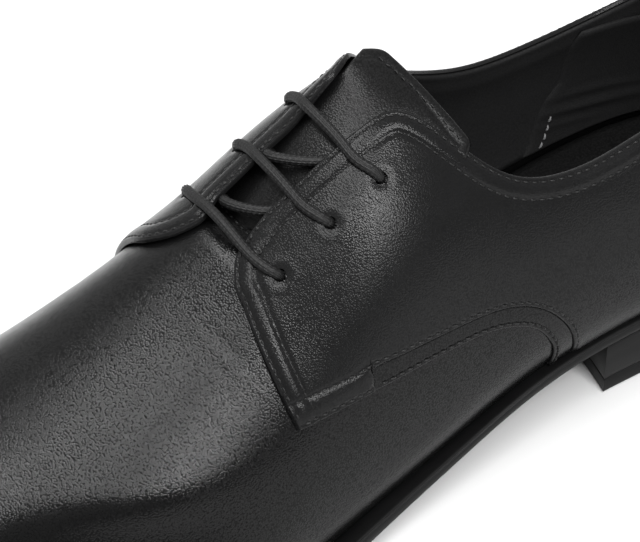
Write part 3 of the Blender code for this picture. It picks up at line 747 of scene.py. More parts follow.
PALE_THREADS = woven("lining_thread", 0.10, 0.22, roughness=0.6, scale=2600, sheen=0.2)
LACES = woven("lace_braid", 0.003, 0.007, roughness=0.5, scale=2300)
EDGE = ground("sole_edge", 0.003, 0.006, roughness=0.38, scale=900, depth=0.00006)
HEEL = ground("heel_edge", 0.002, 0.004, roughness=0.42, scale=900, depth=0.00006)

# Vamp
CREASES = [  # station, level, lean, half width, half length in levels, depth
    (0.1745, 1.66, 0.020, 0.0016, 0.10, 0.00009),
    (0.1785, 1.62, 0.022, 0.0018, 0.12, 0.00008),
    (0.1830, 1.64, 0.024, 0.0022, 0.13, 0.00007),
    (0.1890, 1.60, 0.026, 0.0026, 0.15, 0.00006),
]
CREASE_SWELL, CREASE_FADE = 0.8, 1.6


def vamp_dip(side, share, points):
    """How far the vamp sinks between the facings, where it goes under the tongue's seam."""
    _, _, ridge, _ = wall_line(side, share)
    station = LENGTH / 2 - points[..., 0]
    reach = np.hypot(station - ridge[0], points[..., 1] - ridge[1])
    return VAMP_DIP * smooth(*DIP_STATIONS, station) * (1 - smooth(*DIP_REACH, reach))


def creases(share, level):
    """Soft troughs across the vamp, each with a low swell on both sides."""
    station = station_at(share)
    height = np.zeros(np.broadcast(station, level).shape)
    for middle, at, lean, half, length, depth in CREASES:
        x = (station - middle - lean * (level - at)) / half
        trough = (1 - CREASE_SWELL * x**2) * np.exp(-(x**2) / CREASE_FADE)
        height -= depth * trough * hump(level - at, length)
    return height


def vamp_point(side, share, level):
    """Outer surface of the vamp, with its creases and its dip at the throat."""
    points = raised(*skin(side, share, level), creases(share, level))
    points[..., 2] -= vamp_dip(side, share, points)
    return points


def vamp_shares():
    """Wall lines of the vamp, close together round the throat and the toe."""
    heel = np.linspace(0, turn(HEEL_FAN), 36)
    middle = turn(np.linspace(HEEL_FAN, THROAT_START, 70))
    throat = turn(THROAT_START + THROAT_ROUND * np.sin(np.linspace(0, np.pi / 2, 20)))
    vamp = turn(np.linspace(THROAT_START + THROAT_ROUND, TOE_FAN, 90))
    toe = np.linspace(turn(TOE_FAN), 1, 64)
    return np.concatenate([heel, middle[1:], throat[1:], vamp[1:], toe[1:]])


def levels_up_to(top, rows):
    """Levels of a grid. Rows from 1 to 2 are spread between the widest height and each wall line's top."""
    return np.where(rows[:, None] <= 1, rows[:, None], 1 + (rows[:, None] - 1) * (top - 1))


def make_vamp():
    """The lasted vamp and its backing, one wall from the feather line up."""
    shares = vamp_shares()
    rows = np.concatenate([np.linspace(0, 1, 18), 1 + graded(64, 0.3)[1:]])
    sheets, faces = [], []
    for side in SIDES.values():
        top = edge_level(side, shares, VAMP_REACH, (THROAT_START, THROAT_ROUND))
        top = np.where(station_at(shares) < COLLAR_END, top - VAMP_UNDER_COLLAR, top)
        top = np.where(top < RIDGE_LEVEL, np.minimum(top, VAMP_OPEN_LEVEL), top)
        levels = levels_up_to(top, rows)
        faces += grid_faces(*levels.shape, start=len(sheets) * levels.size, flip=side == LATERAL)
        sheets.append(vamp_point(side, shares[None, :], levels))
    ridge = (-1, top >= RIDGE_LEVEL)
    for seam in (ridge, (slice(None), 0), (slice(None), -1)):
        middle = (sheets[0][seam] + sheets[1][seam]) / 2
        for sheet in sheets:
            sheet[seam] = middle
    piece = new_object("vamp", np.concatenate(sheets), faces, VAMP, closed=False)
    thick = piece.modifiers.new("thickness", "SOLIDIFY")
    thick.thickness = VAMP_THICK
    thick.offset = -1
    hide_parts("upper")


# Lining and heel grip
HEEL_GRIP = [  # station, level: front edge of the heel grip inside, from the collar down
    (0.0395, 1.170), (0.0422, 1.128), (0.0450, 1.026), (0.0499, 0.802), (0.0534, 0.550), (0.0571, 0.240),
    (0.0600, 0.110),
]
GRIP_WRINKLES = [  # station, level, lean in levels, half width in levels, half length, height
    (0.0350, 0.72, 6.0, 0.075, 0.014, 0.00045), (0.0420, 0.52, 8.0, 0.065, 0.013, 0.00040),
    (0.0300, 0.46, 4.0, 0.080, 0.015, 0.00045), (0.0460, 0.34, 9.0, 0.055, 0.010, 0.00030),
]
GRIP_STITCHED = 0.55  # level up to which the front edge is stitched
GRIP_COLUMNS, GRIP_SEAM = 70, 66
GRIP_THICK, GRIP_SUNK = 0.0006, 0.0004
GRIP_RIM = 0.05  # share of the grip's length over which its front edge thins out
THREAD_LIFT = 0.0002


def both_sides(sheets):
    """One grid from a lateral and a medial sheet that meet at the heel's back."""
    lateral, medial = sheets
    return np.concatenate([lateral[:, ::-1], medial[:, 1:]], 1)


def make_lining():
    """Lining of the wall, up to the collar's edge and back from the throat."""
    heel = np.linspace(0, turn(HEEL_FAN), 40)
    shares = np.concatenate([heel, turn(np.linspace(HEEL_FAN, LINING_FRONT, 90))[1:]])
    rows = np.concatenate([np.linspace(LINING_FOOT, 1, 16), 1 + graded(46, 0.4)[1:]])
    outer, inner = [], []
    for side in SIDES.values():
        top = rounded_edge(side, shares, FACING_REACH[side] + LINING_SET_BACK) - LINING_UNDER_EDGE
        levels = levels_up_to(top, rows)
        base, normal = skin(side, shares[None, :], levels)
        edge = nearest(base, base[-1])
        outside = HAIR - (VAMP_THICK + HAIR) * smooth(0.0, LINING_TURN, edge)
        outer.append(raised(base, normal, outside))
        inner.append(raised(base, normal, outside - LINING_THICK * thinned(edge, LINING_RIM, THIN_EDGE)))
    piece = shell("lining", both_sides(outer), both_sides(inner), LINING)


def make_heel_grip():
    """Thin grip glued inside the heel, with soft wrinkles and a stitched front edge."""
    edge = np.array(HEEL_GRIP)[::-1]
    level = np.linspace(edge[0, 1], edge[-1, 1], 50)
    part = np.linspace(0, 1, GRIP_COLUMNS)
    share = part[None, :] * turn(np.interp(level, edge[:, 1], edge[:, 0]))[:, None]
    levels = np.broadcast_to(level[:, None], share.shape)
    height = GRIP_THICK * thinned(1 - part, GRIP_RIM, 0)[None, :]
    for station, at, lean, half, length, rise in GRIP_WRINKLES:
        away = station_at(share) - station
        height = height + rise * hump(away, length) * hump(levels - at - lean * away, half)
    depth = VAMP_THICK + LINING_THICK + HAIR
    stitched = level < GRIP_STITCHED
    outer, inner, rows = [], [], []
    for side in SIDES.values():
        base, normal = skin(side, share, levels)
        outer.append(base - normal * (depth - GRIP_SUNK))
        inner.append(raised(base, normal, -(depth + height)))
        seam = (inner[-1] - normal * THREAD_LIFT)[stitched, GRIP_SEAM]
        rows.append((even_path(seam, 40), -even_path(normal[stitched, GRIP_SEAM], 40)))
    piece = shell("heel_grip", both_sides(inner), both_sides(outer), GRIP)
    stitch_mesh("heel_grip_stitches", rows, PALE_THREADS)


# Quarters and strips
LEVEL_SCALE = (1.0, 0.25)  # weighs shares against levels in the length of a path
FRONT_COLUMNS = 70  # columns over which the front edge's bulge runs out
FACING_PART = 0.62  # share of the high edge where the facing begins


class Quarter:
    """Paths of one quarter's edges and the height of its outer face over the wall."""

    def __init__(self, word, side):
        self.word, self.side = word, side
        first = turn(QUARTER_EDGE[0][0])
        back = np.linspace(BACK_SEAM, first, 90)[:-1]
        self.rise = side_path(side, even_path(QUARTER_EDGE, 90))
        self.step = dense(side_path(side, [QUARTER_EDGE[-1], *TAB]), 14)[1:]
        self.tab = dense(side_path(side, even_path([TAB[-1], QUARTER_CORNER[word]], 12)), 40)[1:]
        front = np.concatenate([self.rise, self.step, self.tab])
        self.low = np.concatenate([pairs(back, QUARTER_FOOT), front])
        self.high = np.concatenate([pairs(back, rounded_edge(side, back)), self.facing(first, len(front))])
        rows = graded(96, 0.7)
        self.net = self.between(np.arange(len(self.low))[None, :], rows[:, None])
        across = np.union1d(np.linspace(0, 1, 200), rows)
        self.front = self.between(np.full(len(across), len(self.low) - 1), across)
        high_edge = wall(side, *dense(self.high, 7 * len(self.high) - 6).T)
        front_edge = wall(side, *self.front.T)
        self.top_edge = np.concatenate([high_edge, front_edge])
        self.facing_edge = np.concatenate([high_edge[int(len(high_edge) * FACING_PART):], front_edge])
        self.low_edge = wall(side, *dense(front, 8 * len(front) - 7).T)
        self.tab_edge = wall(side, *dense(np.concatenate([self.step[-2:], self.tab]), 400).T)
        self.rise_edge = wall(side, *dense(self.rise, 900).T)
        self.eyelets = [(turn(s), level_at_reach(side, turn(s), reach)) for s, reach in EYELETS[side]]
        self.holes = np.array([wall(side, *eyelet) for eyelet in self.eyelets])

    def facing(self, first, count):
        """Shares and levels of the high edge from a share on: collar, facing and rounded front corner."""
        shares = np.linspace(first, turn(FRONT_START[self.word]), 160)
        collar = pairs(shares, rounded_edge(self.side, shares))
        station, level = np.array(FRONT_ROUND[self.word]).T
        path = even_path(np.concatenate([collar, pairs(turn(station), level)]) * LEVEL_SCALE, 400)
        return read(path / LEVEL_SCALE, np.linspace(0, 1, 400), np.linspace(0, 1, count) ** 0.9)

    def between(self, columns, share):
        """Shares and levels on given columns, from the low edge (0) to the high edge (1)."""
        low, high = self.low[columns], self.high[columns]
        mix = low + (high - low) * share[..., None]
        start, end = climb(low[..., 1]), climb(high[..., 1])
        mix[..., 1] = level_of(start + (end - start) * share)
        near_front = smooth(len(self.low) - FRONT_COLUMNS, len(self.low) - 1, columns)
        mix[..., 0] = turn(station_at(mix[..., 0]) + FRONT_BULGE[self.side] * near_front * arch(share))
        return mix

    def lift(self, points):
        """How far the quarter stands off the wall, which is more at the front of the far flap."""
        if self.side == LATERAL:
            return np.full(points.shape[:-1], QUARTER_GAP)
        station = LENGTH / 2 - points[..., 0]
        edge = np.clip(1 - nearest(points, self.facing_edge) / FLAP_WIDTH, 0, 1)
        tip = np.linalg.norm(points - wall(self.side, turn(FLAP_TIP[0]), FLAP_TIP[1]), axis=-1)
        facing = (FLAP_LIFT + FLAP_END_LIFT * smooth(*FLAP_END, station)) * edge**2
        flap = facing * smooth(*FLAP_BACK, station) + FLAP_TIP_LIFT * hump(tip, FLAP_TIP_WIDTH)
        return QUARTER_GAP + flap * smooth(*FLAP_HEIGHTS, points[..., 2])

    def height(self, points):
        """Height of the outer face, with its rim, stitched troughs and eyelet dimples."""
        edges = (self.top_edge, self.low_edge, self.tab_edge, self.rise_edge)
        top, low, tab, rise = (nearest(points, edge) for edge in edges)
        height = QUARTER_THICK[self.side] * thinned(np.minimum(top, low), QUARTER_RIM, EDGE_WALL)
        band = np.clip((top - ROW_INNER) / (ROW_OUTER - ROW_INNER), 0, 1)
        on_tab = np.clip((tab - ROW_INNER) / (TAB_ROW - ROW_INNER), 0, 1) * (rise > ROW_INNER)
        height += PUFF * (arch(band) + arch(on_tab))
        for distance in (top - ROW_INNER, top - ROW_OUTER, rise - ROW_INNER, tab - ROW_INNER, tab - TAB_ROW):
            height -= TROUGH * hump(distance, TROUGH_WIDTH)
        for hole in self.holes:
            away = np.linalg.norm(points - hole, axis=-1)
            height -= DIMPLE * hump(away, DIMPLE_WIDTH)
            height += HOLE_RING * hump(away - HOLE_RING_RADIUS, HOLE_RING_WIDTH)
        return height

    def surface(self, share, level, over=0.0):
        """Point on the outer face and the direction off it."""
        points, normal = skin(self.side, share, level)
        return raised(points, normal, self.height(points) + self.lift(points) + over), normal


def punch(piece, holes, directions):
    """Cuts the lace holes through a quarter."""
    cutters = []
    for hole, way in zip(holes, directions):
        turned = Vector(way).to_track_quat("Z", "Y").to_matrix().to_4x4()
        work = bmesh.new()
        bmesh.ops.create_cone(
            work, cap_ends=True, segments=32, radius1=HOLE_RADIUS, radius2=HOLE_RADIUS, depth=PUNCH_LENGTH,
            matrix=Matrix.Translation(Vector(hole)) @ turned,
        )
        mesh = bpy.data.meshes.new("punch")
        work.to_mesh(mesh)
        work.free()
        cutters.append(linked("punch", mesh))
        cut = piece.modifiers.new("hole", "BOOLEAN")
        cut.operation = "DIFFERENCE"
        cut.solver = "EXACT"
        cut.object = cutters[-1]
    bpy.context.view_layer.update()
    done = bpy.data.meshes.new_from_object(piece.evaluated_get(bpy.context.evaluated_depsgraph_get()))
    piece.modifiers.clear()
    piece.data = done
    for cutter in cutters:
        bpy.data.objects.remove(cutter)
    done.shade_smooth()
    done.set_sharp_from_angle(angle=SHARP_HOLE)


def make_quarter(quarter):
    """One side panel with its facing and its three lace holes."""
    base, normal = skin(quarter.side, *np.moveaxis(quarter.net, -1, 0))
    lift = quarter.lift(base)
    outer = raised(base, normal, lift + quarter.height(base))
    piece = shell(f"quarter_{quarter.word}_skin", outer, raised(base, normal, lift - HAIR), QUARTER)
    punch(piece, quarter.holes, [wall_normal(quarter.side, *eyelet) for eyelet in quarter.eyelets])
    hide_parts(f"quarter_{quarter.word}")


def make_strip(word, side):
    """Narrow band under the quarter's lower edge. Gives back the path of its own lower edge."""
    low = even_path([*STRIP_EDGE, STRIP_TAIL[0]], 170)
    high = even_path([*QUARTER_EDGE, STRIP_TAIL[1]], 170)
    share = np.linspace(0, STRIP_SPAN, 34)[:, None]
    net = low[None] + (high - low)[None] * share[..., None]
    net = side_path(side, net.reshape(-1, 2)).reshape(net.shape)
    low = side_path(side, low)
    base, normal = skin(side, *np.moveaxis(net, -1, 0))
    edge = nearest(base, wall(side, *dense(low, 1200).T))
    height = STRIP_THICK * thinned(edge, STRIP_RIM, THIN_EDGE)
    height -= STRIP_TROUGH * hump(edge - ROW_INNER, TROUGH_WIDTH)
    height *= 1 - STRIP_THINNING * smooth(*STRIP_THIN_AT, share)
    piece = shell(f"strip_{word}_skin", raised(base, normal, height), base - normal * STRIP_SUNK, BAND)
    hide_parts(f"strip_{word}")
    return low[low[:, 0] < turn(STRIP_EDGE[-1][0])]


# Stitches
THREAD_WIDTHS = THREAD * np.array((0.55, 0.9, 1.0, 1.0, 1.0, 0.9, 0.55))  # along one thread
THREAD_ARCH, THREAD_SINK = 1.35 * THREAD, 1.15 * THREAD
THREAD_AROUND, NEEDLE_AROUND = 6, 8
NEEDLE_LEVELS = (-0.0003, 0.00004, 0.00006)  # bottom ring, rim and middle of a needle hole
NEEDLE_WIDTHS = NEEDLE * np.array(((0.8,), (1.0,)))
NEEDLE_SLANT = (1.0, 0.3, 0.2)
KEPT_SHARE = 0.94  # a row is dropped where it comes closer to an edge than this share of its distance
FOOT_SHARE = 0.9  # the same at a quarter's lower edge
ROW_STEP = 0.0006


def circle(count):
    """Angles spread evenly round a ring."""
    return np.linspace(0, 2 * np.pi, count + 1)[:-1]


def rings_around(path, size, angle, sides, ups):
    """Rings of points around a path."""
    way = np.cos(angle)[None, :, None] * sides[:, None] + np.sin(angle)[None, :, None] * ups[:, None]
    return path[:, None] + size[..., None] * way


def stitch_places(rows, start, share):
    """Points and normals of each stitch of the rows, from a start on, at shares of its length."""
    for path, normal in rows:
        run = run_along(path)
        first = np.arange(start, run[-1] - STITCH_LENGTH, STITCH_PITCH)
        for at in first[first >= 0]:
            yield tuple(read(values, run, at + share * STITCH_LENGTH) for values in (path, normal))


def needle_hole_shade(name, rows):
    """One mesh of small dimples in the gaps between the threads of the rows, nearly black as painted shade
    inside the needle holes.
    """
    points, faces = [], []
    bottom, rim, top = NEEDLE_LEVELS
    half_gap = (STITCH_PITCH - STITCH_LENGTH) / 2
    for middle, up in stitch_places(rows, STITCH_START - half_gap, np.zeros(1)):
        up = unit(up)
        side = unit(np.cross(up, NEEDLE_SLANT))
        levels = np.concatenate([middle + up * bottom, middle + up * rim])
        rings = rings_around(levels, NEEDLE_WIDTHS, circle(NEEDLE_AROUND), side, np.cross(up, side))
        first = len(points) * (2 * NEEDLE_AROUND + 1)
        points.append(np.concatenate([rings.reshape(-1, 3), middle + up * top]))
        faces += ring_faces(2, NEEDLE_AROUND, first) + end_faces(1, NEEDLE_AROUND, first)[:1]
        edge = first + NEEDLE_AROUND + np.arange(NEEDLE_AROUND)
        tip = np.full(NEEDLE_AROUND, first + 2 * NEEDLE_AROUND)
        faces += np.stack([edge, np.roll(edge, -1), tip], -1).tolist()
    return new_object(name, np.concatenate(points), faces, NEEDLE_SHADE, closed=False)


def stitch_mesh(name, rows, material):
    """One mesh of short threads along rows of points and normals. Each thread dips at both ends."""
    points, faces = [], []
    count = len(THREAD_WIDTHS)
    share = np.linspace(0, 1, count)
    rise = THREAD_ARCH * np.sqrt(np.sin(share * np.pi)) - THREAD_SINK
    for line, up in stitch_places(rows, STITCH_START, share):
        up = unit(up)
        across = np.cross(unit(np.gradient(line, axis=0)), up)
        line = raised(line, up, rise)
        rings = rings_around(line, THREAD_WIDTHS[:, None], circle(THREAD_AROUND), across, up)
        first = count * THREAD_AROUND * len(points)
        points.append(rings.reshape(-1, 3))
        faces += ring_faces(count, THREAD_AROUND, first) + end_faces(count, THREAD_AROUND, first)
    return new_object(name, np.concatenate(points), faces, material, closed=False)


def evened(side, path):
    """A path of shares and levels with even steps on the surface."""
    run = run_along(wall(side, *path.T))
    return read(path, run, np.linspace(0, run[-1], max(int(run[-1] / ROW_STEP), 4)))


def kept(side, path, edge, distance):
    """The part of a path that stays at its distance from an edge, with even steps."""
    return evened(side, path[nearest(wall(side, *path.T), edge) > KEPT_SHARE * distance])


def make_quarter_stitches(quarter, strip_low):
    """Threads along a quarter's edges, its tab and the strip's lower edge, with dots of painted shade in the
    needle holes.

    Each row starts a few points in from the end of its edge.
    """
    side = quarter.side
    rows = []
    every = np.concatenate([quarter.top_edge, quarter.low_edge])
    top = np.concatenate([dense(quarter.high, 1200)[4:], quarter.front[::-1][1:]])
    for distance in (ROW_INNER, ROW_OUTER):
        row = kept(side, inward(side, top, distance, -side), quarter.top_edge, distance)
        row = row[nearest(wall(side, *row.T), quarter.low_edge) > FOOT_SHARE * distance]
        rows.append(quarter.surface(*row.T))
    tab = np.concatenate([quarter.step[-3:], quarter.tab])
    row = kept(side, inward(side, dense(tab, 300), ROW_INNER, side), every, ROW_INNER)
    rows.append(quarter.surface(*row.T))
    rise = inward(side, dense(quarter.rise, 700)[12:], ROW_INNER, side)
    across = inward(side, dense(quarter.tab, 300), TAB_ROW, side)
    across = across[nearest(wall(side, *across.T), quarter.top_edge) > ROW_INNER]
    row = kept(side, np.concatenate([rise, across[40:]]), every, ROW_INNER)
    rows.append(quarter.surface(*row.T))
    row = evened(side, inward(side, dense(strip_low, 700)[10:], ROW_INNER, side))
    points, normal = skin(side, *row.T)
    rows.append((points + normal * STRIP_THICK, normal))
    stitch_mesh(f"stitches_{quarter.word}", rows, THREADS)
    needle_hole_shade(f"needle_hole_shade_{quarter.word}", rows)


def throat_rows():
    """Seam of the vamp over the tongue, between the facings."""
    rows = []
    for back in THROAT_ROWS:
        shares = np.full(40, turn(THROAT_START + THROAT_ROUND + back))
        reach = np.linspace(THROAT_ROW_REACH, 0.0, 40)
        line, up = [], []
        for side, step in ((LATERAL, 1), (MEDIAL, -1)):
            level = np.minimum(level_at_reach(side, shares, reach), THROAT_ROW_TOP)
            line.append(vamp_point(side, shares, level)[::step])
            up.append(wall_normal(side, shares, level)[::step])
        rows.append((np.concatenate(line), np.concatenate(up)))
    return rows


def make_tongue():
    """Padded tongue with a stitched back edge. Gives back its row of points and normals."""
    first, last = TONGUE[0][0], TONGUE[-1][0]
    along = np.linspace(first, last, 150)
    across = 2 * graded(81, 0.35) - 1
    middle, height, half, crown, rise = (column(TONGUE, i, along)[:, None] for i in range(1, 6))
    back = (np.clip((TONGUE_BEND - along) / (TONGUE_BEND - last), 0, 1) ** TONGUE_BEND_POWER)[:, None]
    cut = smooth(*TONGUE_CORNER_SPAN, np.abs(across))
    corner = TONGUE_CORNER * (1 - np.sqrt(1 - TONGUE_CORNER_CUT * cut**2))
    station = along[:, None] + back * (TONGUE_ROUND * across**2 + TONGUE_SKEW * across + corner)
    sheet = place(station, middle + half * across, height - crown * across**2 + rise * across)
    normal = grid_normals(sheet)
    normal *= np.sign(normal[..., 2:3])
    edge = nearest(sheet, np.concatenate([sheet[-1], sheet[:, 0], sheet[:, -1]]))
    top = TONGUE_THICK * thinned(edge, TONGUE_RIM, TONGUE_EDGE)
    top -= TONGUE_TROUGH * hump(nearest(sheet, sheet[-1]) - TONGUE_ROW, TONGUE_TROUGH_WIDTH)
    outer = raised(sheet, normal, top)
    piece = shell("tongue_skin", outer, sheet - normal * TONGUE_UNDER, TONGUE_TOP)
    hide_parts("tongue")
    picked = np.arange(6, 75)
    row = np.argmin(np.abs(np.linalg.norm(sheet - sheet[-1:], axis=-1) - TONGUE_ROW), 0)[picked]
    return (even_path(outer[row, picked], 90), dense(normal[row, picked], 90))


# Lace
LACE_AROUND, LACE_RIBS = 48, 12
LACE_STEP = 0.00021
BRAID_CORE, BRAID_RELIEF, BRAID_POWER = 0.80, 0.22, 0.7


def tube(path, radius):
    """Rings of points of a braided cord along a path."""
    along = unit(np.gradient(path, axis=0))
    side = np.cross(along[0], (0, 0, 1.0))
    sides = []
    for way in along:
        side = unit(side - way * (side @ way))
        sides.append(side)
    sides = np.array(sides)
    angle = circle(LACE_AROUND)
    twist = 2 * np.pi * run_along(path)[:, None] / BRAID_PITCH
    ribs = LACE_RIBS * angle
    strands = np.maximum(np.abs(np.cos((ribs + twist) / 2)), np.abs(np.cos((ribs - twist) / 2)))
    relief = strands**BRAID_POWER * np.sqrt(np.abs(np.sin(ribs / 2)))
    size = radius * (BRAID_CORE + BRAID_RELIEF * relief)
    return rings_around(path, size, angle, sides, np.cross(along, sides))


def lace_path(quarters):
    """One lace: over the front bar, slanting back under the facings, and so on to the back bar."""
    near, far = quarters["lateral"], quarters["medial"]
    near_edge, far_edge = FACING_REACH[LATERAL], FACING_REACH[MEDIAL]
    over = LACE_RADIUS * 1.02

    def on(quarter, station, reach, height):
        """Point at a height over the leather."""
        share = np.array([turn(station)])
        points, _ = quarter.surface(share, level_at_reach(quarter.side, share, reach), height)
        return points[0]

    route = []
    for i, ((station, reach), (far_station, far_reach)) in enumerate(zip(EYELETS[LATERAL], EYELETS[MEDIAL])):
        bar = [  # quarter, station, reach from the ridge, height over the leather
            (near, station, reach + 0.0002, -0.0042),
            (near, station, reach - 0.0001, -0.0012),
            (near, station + 0.0014, reach - 0.0024, over * 0.80),
            (near, station + 0.0026, (reach + near_edge) / 2 + 0.001, over),
            (near, station + 0.0034, near_edge + 0.0012, over * 0.9),
            (far, station + 0.0038, far_edge + 0.0008, over),
            (far, station + 0.0038, (far_reach + far_edge) / 2 + 0.001, over),
            (far, far_station, far_reach - 0.0022, over * 0.75),
            (far, far_station, far_reach - 0.0001, -0.0012),
            (far, far_station, far_reach + 0.0002, -0.0048),
        ]
        route += [on(*stop) for stop in bar]
        if i < len(LACE_CROSSINGS):
            ahead, ahead_reach = EYELETS[LATERAL][i + 1]
            route.append(on(far, far_station - 0.003, far_reach - 0.005, -0.0062))
            route += [place(*point) for point in LACE_CROSSINGS[i]]
            route.append(on(near, ahead + 0.003, ahead_reach - 0.0055, -0.0046))
    return np.array(route)


def make_lace(quarters):
    """One cord through all six eyelets."""
    route = lace_path(quarters)
    count = int(run_along(route)[-1] / LACE_STEP)
    piece = ring_solid("lace", tube(even_path(route, count), LACE_RADIUS), LACES)
    bars = [f"lace_bar_{word}" for word in ("front", "middle", "back")]
    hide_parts(*bars, "lace_cross_front", "lace_cross_back")


# Sole, heel and sock
SOLE_SIDE = [  # share of the edge thickness, inset from the outline
    (0.00, 0.0011), (0.03, 0.0006), (0.08, 0.00022), (0.15, 0.0000), (0.40, 0.0000), (0.64, 0.0000),
    (0.70, 0.0001), (0.725, 0.0005), (0.75, 0.0006), (0.775, 0.0005), (0.79, 0.00015), (0.83, 0.0001),
    (0.87, 0.00015), (0.885, 0.0004), (0.905, 0.0004), (0.92, 0.0001), (0.95, 0.0000), (0.985, 0.0002),
    (1.00, 0.0006),
]
HEEL_BREAST = 0.0778
HEEL_TAPER = 0.0020
BREAST_LEAN = 0.0010
BREAST_HOLLOW = 0.0030
LIFT_THICK = 0.0050
SHARP_SOLE, SHARP_HEEL = np.radians((60, 50))
SOCK_INSET = 0.0026
SOCK_TOP, SOCK_BOTTOM, SOCK_DISH = 0.0013, 0.0004, 0.0006  # over the sole, and the rise to the edges


def make_outsole():
    """Sole with its rim and the two fine lines round its edge."""
    shares = np.linspace(0, 1, 261)
    rings, lids = [], []
    for part, inset in SOLE_SIDE:
        halves = []
        for side in SIDES.values():
            u, y = inset_outline(side, shares, inset)
            u = np.clip(u, 0, LENGTH)
            halves.append(place(u, y, sole_bottom(u) + part * column(SOLE, 2, u)))
        lateral, medial = halves
        rings.append(np.concatenate([lateral, medial[-2:0:-1]]))
        if part in (0.0, 1.0):
            lid = lateral[None] + (medial - lateral)[None] * np.linspace(0, 1, 25)[:, None, None]
            u = LENGTH / 2 - lid[..., 0]
            lid[..., 2] = sole_bottom(u) + part * column(SOLE, 2, u)
            lids.append(lid)
    piece = ring_solid("outsole_skin", rings, EDGE, lids)
    piece.data.set_sharp_from_angle(angle=SHARP_SOLE)
    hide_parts("outsole")


def heel_plan(height, inset):
    """Stations and distances of the heel's ring at a share of its height, 0 at the floor, moved inwards."""
    drop = 1 - height
    shares = np.linspace(0, turn(HEEL_BREAST + BREAST_LEAN * drop - inset), 150)
    drawn = HEEL_TAPER * drop + GAP + inset
    lateral, medial = (np.stack(inset_outline(side, shares, drawn), -1) for side in SIDES.values())
    across = np.linspace(0, 1, 49)[1:-1]
    front = lateral[-1] + (medial[-1] - lateral[-1]) * across[:, None]
    front[:, 0] -= BREAST_HOLLOW * arch(across)
    return np.concatenate([lateral, front, medial[:0:-1]]).T


def make_heel():
    """Heel block and the lift under it, with a fine line between them."""
    tall = float(sole_bottom(np.array(HEEL_BREAST)))
    split = LIFT_THICK / tall
    layers = {  # share of the heel's front height, inset, share of the sole's curve that a ring follows
        "heel_lift": [
            (0.0, 0.0007, 0), (0.012, 0.00025, 0), (0.03, 0.00005, 0), (0.06, 0.0, 0),
            (split - 0.03, 0.0, 0), (split - 0.008, 0.00015, 0), (split, 0.0004, 0),
        ],
        "heel_stack": [
            (split + 0.004, 0.0004, 0), (split + 0.012, 0.0001, 0), (split + 0.04, 0.0, 0), (0.62, 0.0, 1),
            (0.80, 0.0, 1), (0.95, 0.0, 1), (0.975, 0.0001, 1), (0.985, 0.0003, 1),
        ],
    }
    for name, rows in layers.items():
        rings = []
        for height, inset, follow in rows:
            station, y = heel_plan(height, inset)
            curve = sole_bottom(np.clip(station, 0, LENGTH)) - tall
            rings.append(place(station, y, height * tall + follow * curve))
        piece = ring_solid(f"{name}_skin", rings, HEEL)
        piece.data.set_sharp_from_angle(angle=SHARP_HEEL)
        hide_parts(name)


def make_sock():
    """Sock over the insole, a little dished. Its nearly black colour is dark leather darkened further with
    painted shade.
    """
    shares = np.linspace(0, 1, 121)
    inset = column(SOLE, 3, station_at(shares)) + SOCK_INSET
    lateral, medial = (np.stack(inset_outline(side, shares, inset), -1) for side in SIDES.values())
    across = np.linspace(0, 1, 41)[:, None]
    station, y = np.moveaxis(lateral[None] + (medial - lateral)[None] * across[..., None], -1, 0)
    base = sole_top(np.clip(station, 0, LENGTH))
    top = place(station, y, base + SOCK_TOP + SOCK_DISH * (2 * across - 1) ** 4)
    piece = shell("sock", top, place(station, y, base + SOCK_BOTTOM), PAINTED_SHADE_SOCK)
    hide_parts("insole")


# The shoe
make_outsole()
make_heel()
make_sock()
make_vamp()
make_lining()
make_heel_grip()
quarters = {word: Quarter(word, side) for word, side in SIDES.items()}
for word, quarter in quarters.items():
    make_quarter(quarter)
    make_quarter_stitches(quarter, make_strip(word, quarter.side))
seams = [make_tongue(), *throat_rows()]
stitch_mesh("stitches_tongue", seams, THREADS)
make_lace(quarters)

# Floor, lights and camera
FRAME_WIDTH = 640
FOCAL_PIXELS = 4082.76
CAMERA_AZIMUTH, CAMERA_ELEVATION, CAMERA_ROLL = np.radians((-26.66, 42.94, -7.55))
CAMERA_DISTANCE = 1.000
CAMERA_TARGET = np.array((0.01638, 0.00644, 0.045))
FLOOR_HALF = 6
FLOOR_GREY = 0.68
NEAR_SKY, FAR_SKY = 0.25, 1.00
SKY_TILT = np.radians(-53)
SKY_SPAN = (-0.45, 0.9)


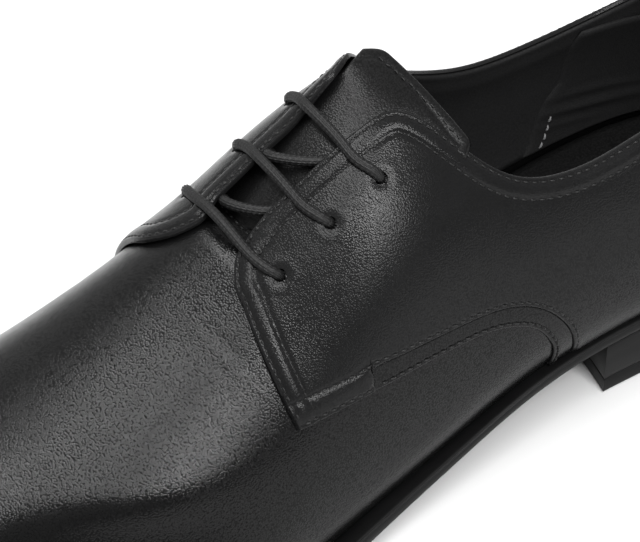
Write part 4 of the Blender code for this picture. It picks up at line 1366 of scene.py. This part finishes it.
def make_camera():
    """Camera at the photo's rolled angle."""
    back = np.array((
        np.sin(CAMERA_AZIMUTH) * np.cos(CAMERA_ELEVATION),
        -np.cos(CAMERA_AZIMUTH) * np.cos(CAMERA_ELEVATION),
        np.sin(CAMERA_ELEVATION),
    ))
    right = unit(np.cross(-back, (0, 0, 1)))
    up = np.cross(right, -back)
    rolled = right * np.cos(CAMERA_ROLL) + up * np.sin(CAMERA_ROLL)
    rolled_up = -right * np.sin(CAMERA_ROLL) + up * np.cos(CAMERA_ROLL)
    data = bpy.data.cameras.new("camera")
    data.sensor_fit = "HORIZONTAL"
    data.sensor_width = 36
    data.lens = FOCAL_PIXELS / FRAME_WIDTH * data.sensor_width
    data.clip_start = 0.05
    camera = linked("camera", data)
    pose = np.eye(4)
    pose[:3] = np.stack([rolled, rolled_up, back, CAMERA_TARGET + back * CAMERA_DISTANCE], -1)
    camera.matrix_world = Matrix(pose.tolist())
    bpy.context.scene.camera = camera


def make_floor():
    """Wide pale floor under the shoe."""
    mesh = bpy.data.meshes.new("floor")
    corners = [(x * FLOOR_HALF, y * FLOOR_HALF, 0) for x, y in ((-1, -1), (1, -1), (1, 1), (-1, 1))]
    mesh.from_pydata(corners, [], [(0, 1, 2, 3)])
    floor = linked("floor", mesh)
    material, _, shader = new_shader("pale_floor")
    colour = (FLOOR_GREY, FLOOR_GREY, FLOOR_GREY, 1)
    set_inputs(shader, {"Base Color": colour, "Roughness": 0.85, "Specular IOR Level": 0.1})
    mesh.materials.append(material)


def area_light(name, at, heading, size, radiance):
    """Flat softbox that faces down, turned by a heading in degrees about the vertical."""
    data = bpy.data.lights.new(name, "AREA")
    data.shape = "RECTANGLE"
    data.size, data.size_y = size
    data.energy = radiance * np.pi * size[0] * size[1]
    light = linked(name, data)
    light.matrix_world = Matrix.Translation(Vector(at)) @ Matrix.Rotation(np.radians(heading), 4, "Z")


def make_world():
    """White sky that is brighter on the far side."""
    world = bpy.data.worlds.new("studio")
    world.use_nodes = True
    tree = world.node_tree
    sky = tree.nodes["Background"].inputs
    sky["Color"].default_value = (1, 1, 1, 1)
    where = tree.nodes.new("ShaderNodeTexCoord").outputs["Generated"]
    split = tree.nodes.new("ShaderNodeSeparateXYZ")
    tree.links.new(stretched(tree, where, (1, 1, 1), (SKY_TILT, 0, 0)), split.inputs[0])
    ramp(tree, split.outputs["Y"], SKY_SPAN, (NEAR_SKY, FAR_SKY), sky["Strength"])
    bpy.context.scene.world = world


make_camera()
make_floor()
make_world()
area_light("strip_light", (-0.235, 0.0, 1.05), heading=1.0, size=(0.18, 1.35), radiance=18.5)
area_light("side_strip_light", (0.30, -1.57, 1.05), heading=21.8, size=(0.24, 1.90), radiance=32.0)
bpy.context.scene.view_settings.view_transform = "Standard"
